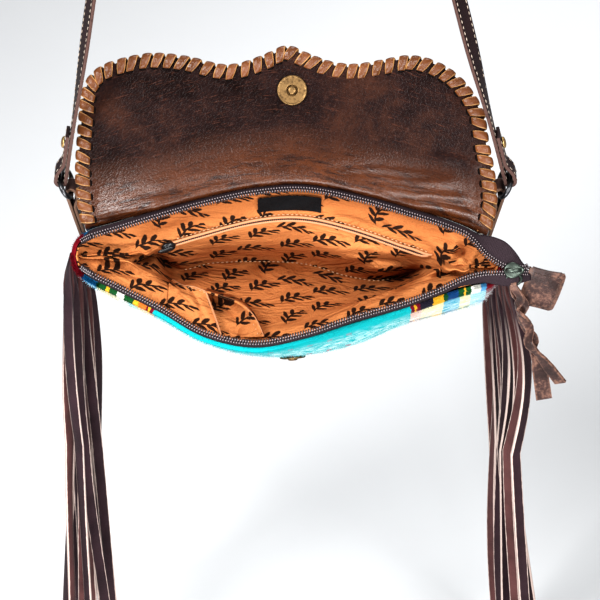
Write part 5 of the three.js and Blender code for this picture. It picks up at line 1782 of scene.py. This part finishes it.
class FLAPBAG_OT_fringe(FlapBagOperator, bpy.types.Operator):
    """Hangs the leather fringe from both side seams"""

    bl_idname = "flap_bag.fringe"
    bl_label = "Fringe"

    def execute(self, context):
        edge = self.colours.fringe_edge
        dark = cut_leather("fringe_leather", self.colours.fringe, edge, 0.08, 0.45, 0.3)
        light = cut_leather("fringe_leather_light", self.colours.fringe_light, edge, 0.08, 0.45, 0.3)
        count = self.sizes.fringe_strips
        width = self.sizes.fringe_width / MM
        length = self.sizes.fringe_length / MM
        for sign, name in ((-1, "left"), (1, "right")):

            def root(depth, reach):
                x = sign * (HALF * narrowed(depth) + WOOL + 0.6 + reach)
                return Vector((x, seam_y(x), -depth))

            bm = bmesh.new()
            lay_grid(bm, 40, 6, lambda a, b: bag(root(mix(14, 148, a), 2.0 * b - 0.4)), (0.14, 0.005))
            for i in range(count):
                share = i / (count - 1)
                base = root(16 + 130 * (i + 0.5) / count, 1.0)
                spread = (15, 33) if sign > 0 else (-21, 12)
                drift = mix(*spread, scatter(i + 1, 0.618))
                bow = mix(3, -2, share) if sign < 0 else mix(10, -1, share)
                turn = math.radians(mix(38, 142, scatter(i + 3, 0.732)))
                sway = mix(-3, 3, scatter(i + 5, 0.29))
                swing = mix(0, 2 * math.pi, scatter(i + 7, 0.53))
                reach = length * mix(0.985, 1.0, scatter(i + 2, 0.377))

                def place(a, b):
                    free = smooth_step(0.05, 0.3, b)
                    bowed = bow * math.sin(math.pi * min(1, 2 * b)) + 1.2 * smooth_step(0, 0.03, b)
                    side = drift * b + sign * bowed + sway * math.sin(swing + 5.5 * b) * free
                    depth = 1.4 * math.sin(swing * 1.7 + 4.5 * b) * free
                    twist = 0.35 * math.sin(swing + 4 * b) * smooth_step(0.1, 0.4, b)
                    angle = sign * turn * smooth_step(-0.02, 0.14, b) + twist
                    wide = Matrix.Rotation(angle, 3, DOWN) @ Vector((0, 0, 1))
                    wide = (wide - DOWN * wide.dot(DOWN)).normalized()
                    curl = 0.5 * (1 - (2 * a - 1) ** 2)
                    middle = base + DOWN * (reach * b) + Vector((side, 0, 0)) + FORWARD * depth
                    return bag(middle + wide * (width * (a - 0.5)) + DOWN.cross(wide) * curl)

                strip = lay_grid(bm, 5, 44, place)
                if scatter(i + 4, 0.55) > 0.6:
                    for face in {f for v in strip for f in v.link_faces}:
                        face.material_index = 1
            fringe = make_piece(f"fringe_{name}", bm, dark, [f"fringe_{name}"])
            fringe.data.materials.append(light)
            thicken(fringe, 0.0015)
        return {"FINISHED"}


class FLAPBAG_OT_stage(FlapBagOperator, bpy.types.Operator):
    """Sets the floor, the studio light and the camera"""

    bl_idname = "flap_bag.stage"
    bl_label = "Stage"

    def execute(self, context):
        scene = bpy.context.scene
        below = Matrix.Translation((0, 0, CAD_BOX[0][2] - 0.03))
        bm = bmesh.new()
        bmesh.ops.create_grid(bm, x_segments=8, y_segments=8, size=16.0, matrix=below)
        mesh = bpy.data.meshes.new("floor")
        bm.to_mesh(mesh)
        bm.free()
        mesh.materials.append(pale_floor(self.colours))
        floor = bpy.data.objects.new("floor", mesh)
        scene.collection.objects.link(floor)

        world = bpy.data.worlds.new("studio")
        world.use_nodes = True
        world.node_tree.nodes["Background"].inputs["Color"].default_value = (0.95, 0.97, 1.0, 1)
        world.node_tree.nodes["Background"].inputs["Strength"].default_value = 0.3
        scene.world = world

        aim = bag((0, 20, 0))
        for name, place, size, power in (
            ("key", (-0.8, -0.85, 0.56), 0.5, 30),
            ("fill", (0.55, -1.5, 0.0), 0.38, 12),
            ("low", (-0.1, -1.1, -0.78), 0.5, 12),
            ("right", (0.78, -1.0, 0.42), 0.5, 17),
            ("top", (0.3, 0.9, 1.0), 0.8, 20),
        ):
            data = bpy.data.lights.new(name, "AREA")
            data.size = size
            data.energy = power
            lamp = bpy.data.objects.new(name, data)
            lamp.location = place
            lamp.rotation_euler = (aim - lamp.location).to_track_quat("-Z", "Y").to_euler()
            scene.collection.objects.link(lamp)

        camera_data = bpy.data.cameras.new("photo_camera")
        camera_data.sensor_width = 36
        camera_data.lens = 202
        camera_data.clip_end = 40
        camera = bpy.data.objects.new("photo_camera", camera_data)
        elevation = math.radians(40)
        look = Vector((0, math.cos(elevation), -math.sin(elevation)))
        camera.location = bag((7.7, -26.1, 0)) - look * 2.0
        camera.rotation_euler = look.to_track_quat("-Z", "Y").to_euler()
        scene.collection.objects.link(camera)
        scene.camera = camera
        scene.view_settings.view_transform = "Standard"
        scene.view_settings.look = "Medium High Contrast"
        return {"FINISHED"}


STEPS = (
    FLAPBAG_OT_stage,
    FLAPBAG_OT_blanket_walls,
    FLAPBAG_OT_lining,
    FLAPBAG_OT_flap,
    FLAPBAG_OT_lacing,
    FLAPBAG_OT_snap,
    FLAPBAG_OT_main_zipper,
    FLAPBAG_OT_zip_slider,
    FLAPBAG_OT_inner_pockets,
    FLAPBAG_OT_strap,
    FLAPBAG_OT_fringe,
)


class FLAPBAG_PT_panel(bpy.types.Panel):
    """Lists the bag's pieces, sizes and colours"""

    bl_idname = "FLAPBAG_PT_panel"
    bl_label = "Flap bag"
    bl_space_type = "VIEW_3D"
    bl_region_type = "UI"
    bl_category = "Flap bag"

    def draw(self, context):
        for step in STEPS:
            self.layout.operator(step.bl_idname)
        for group in (context.scene.flap_bag_sizes, context.scene.flap_bag_colours):
            for key in group.__annotations__:
                self.layout.prop(group, key)


CLASSES = (FlapBagSizes, FlapBagColours, *STEPS, FLAPBAG_PT_panel)


def register():
    for cls in CLASSES:
        bpy.utils.register_class(cls)
    bpy.types.Scene.flap_bag_sizes = PointerProperty(type=FlapBagSizes)
    bpy.types.Scene.flap_bag_colours = PointerProperty(type=FlapBagColours)


def unregister():
    del bpy.types.Scene.flap_bag_colours
    del bpy.types.Scene.flap_bag_sizes
    for cls in reversed(CLASSES):
        bpy.utils.unregister_class(cls)


def main():
    register()
    for step in STEPS:
        group, name = step.bl_idname.split(".")
        getattr(getattr(bpy.ops, group), name)()


if __name__ == "__main__":
    main()
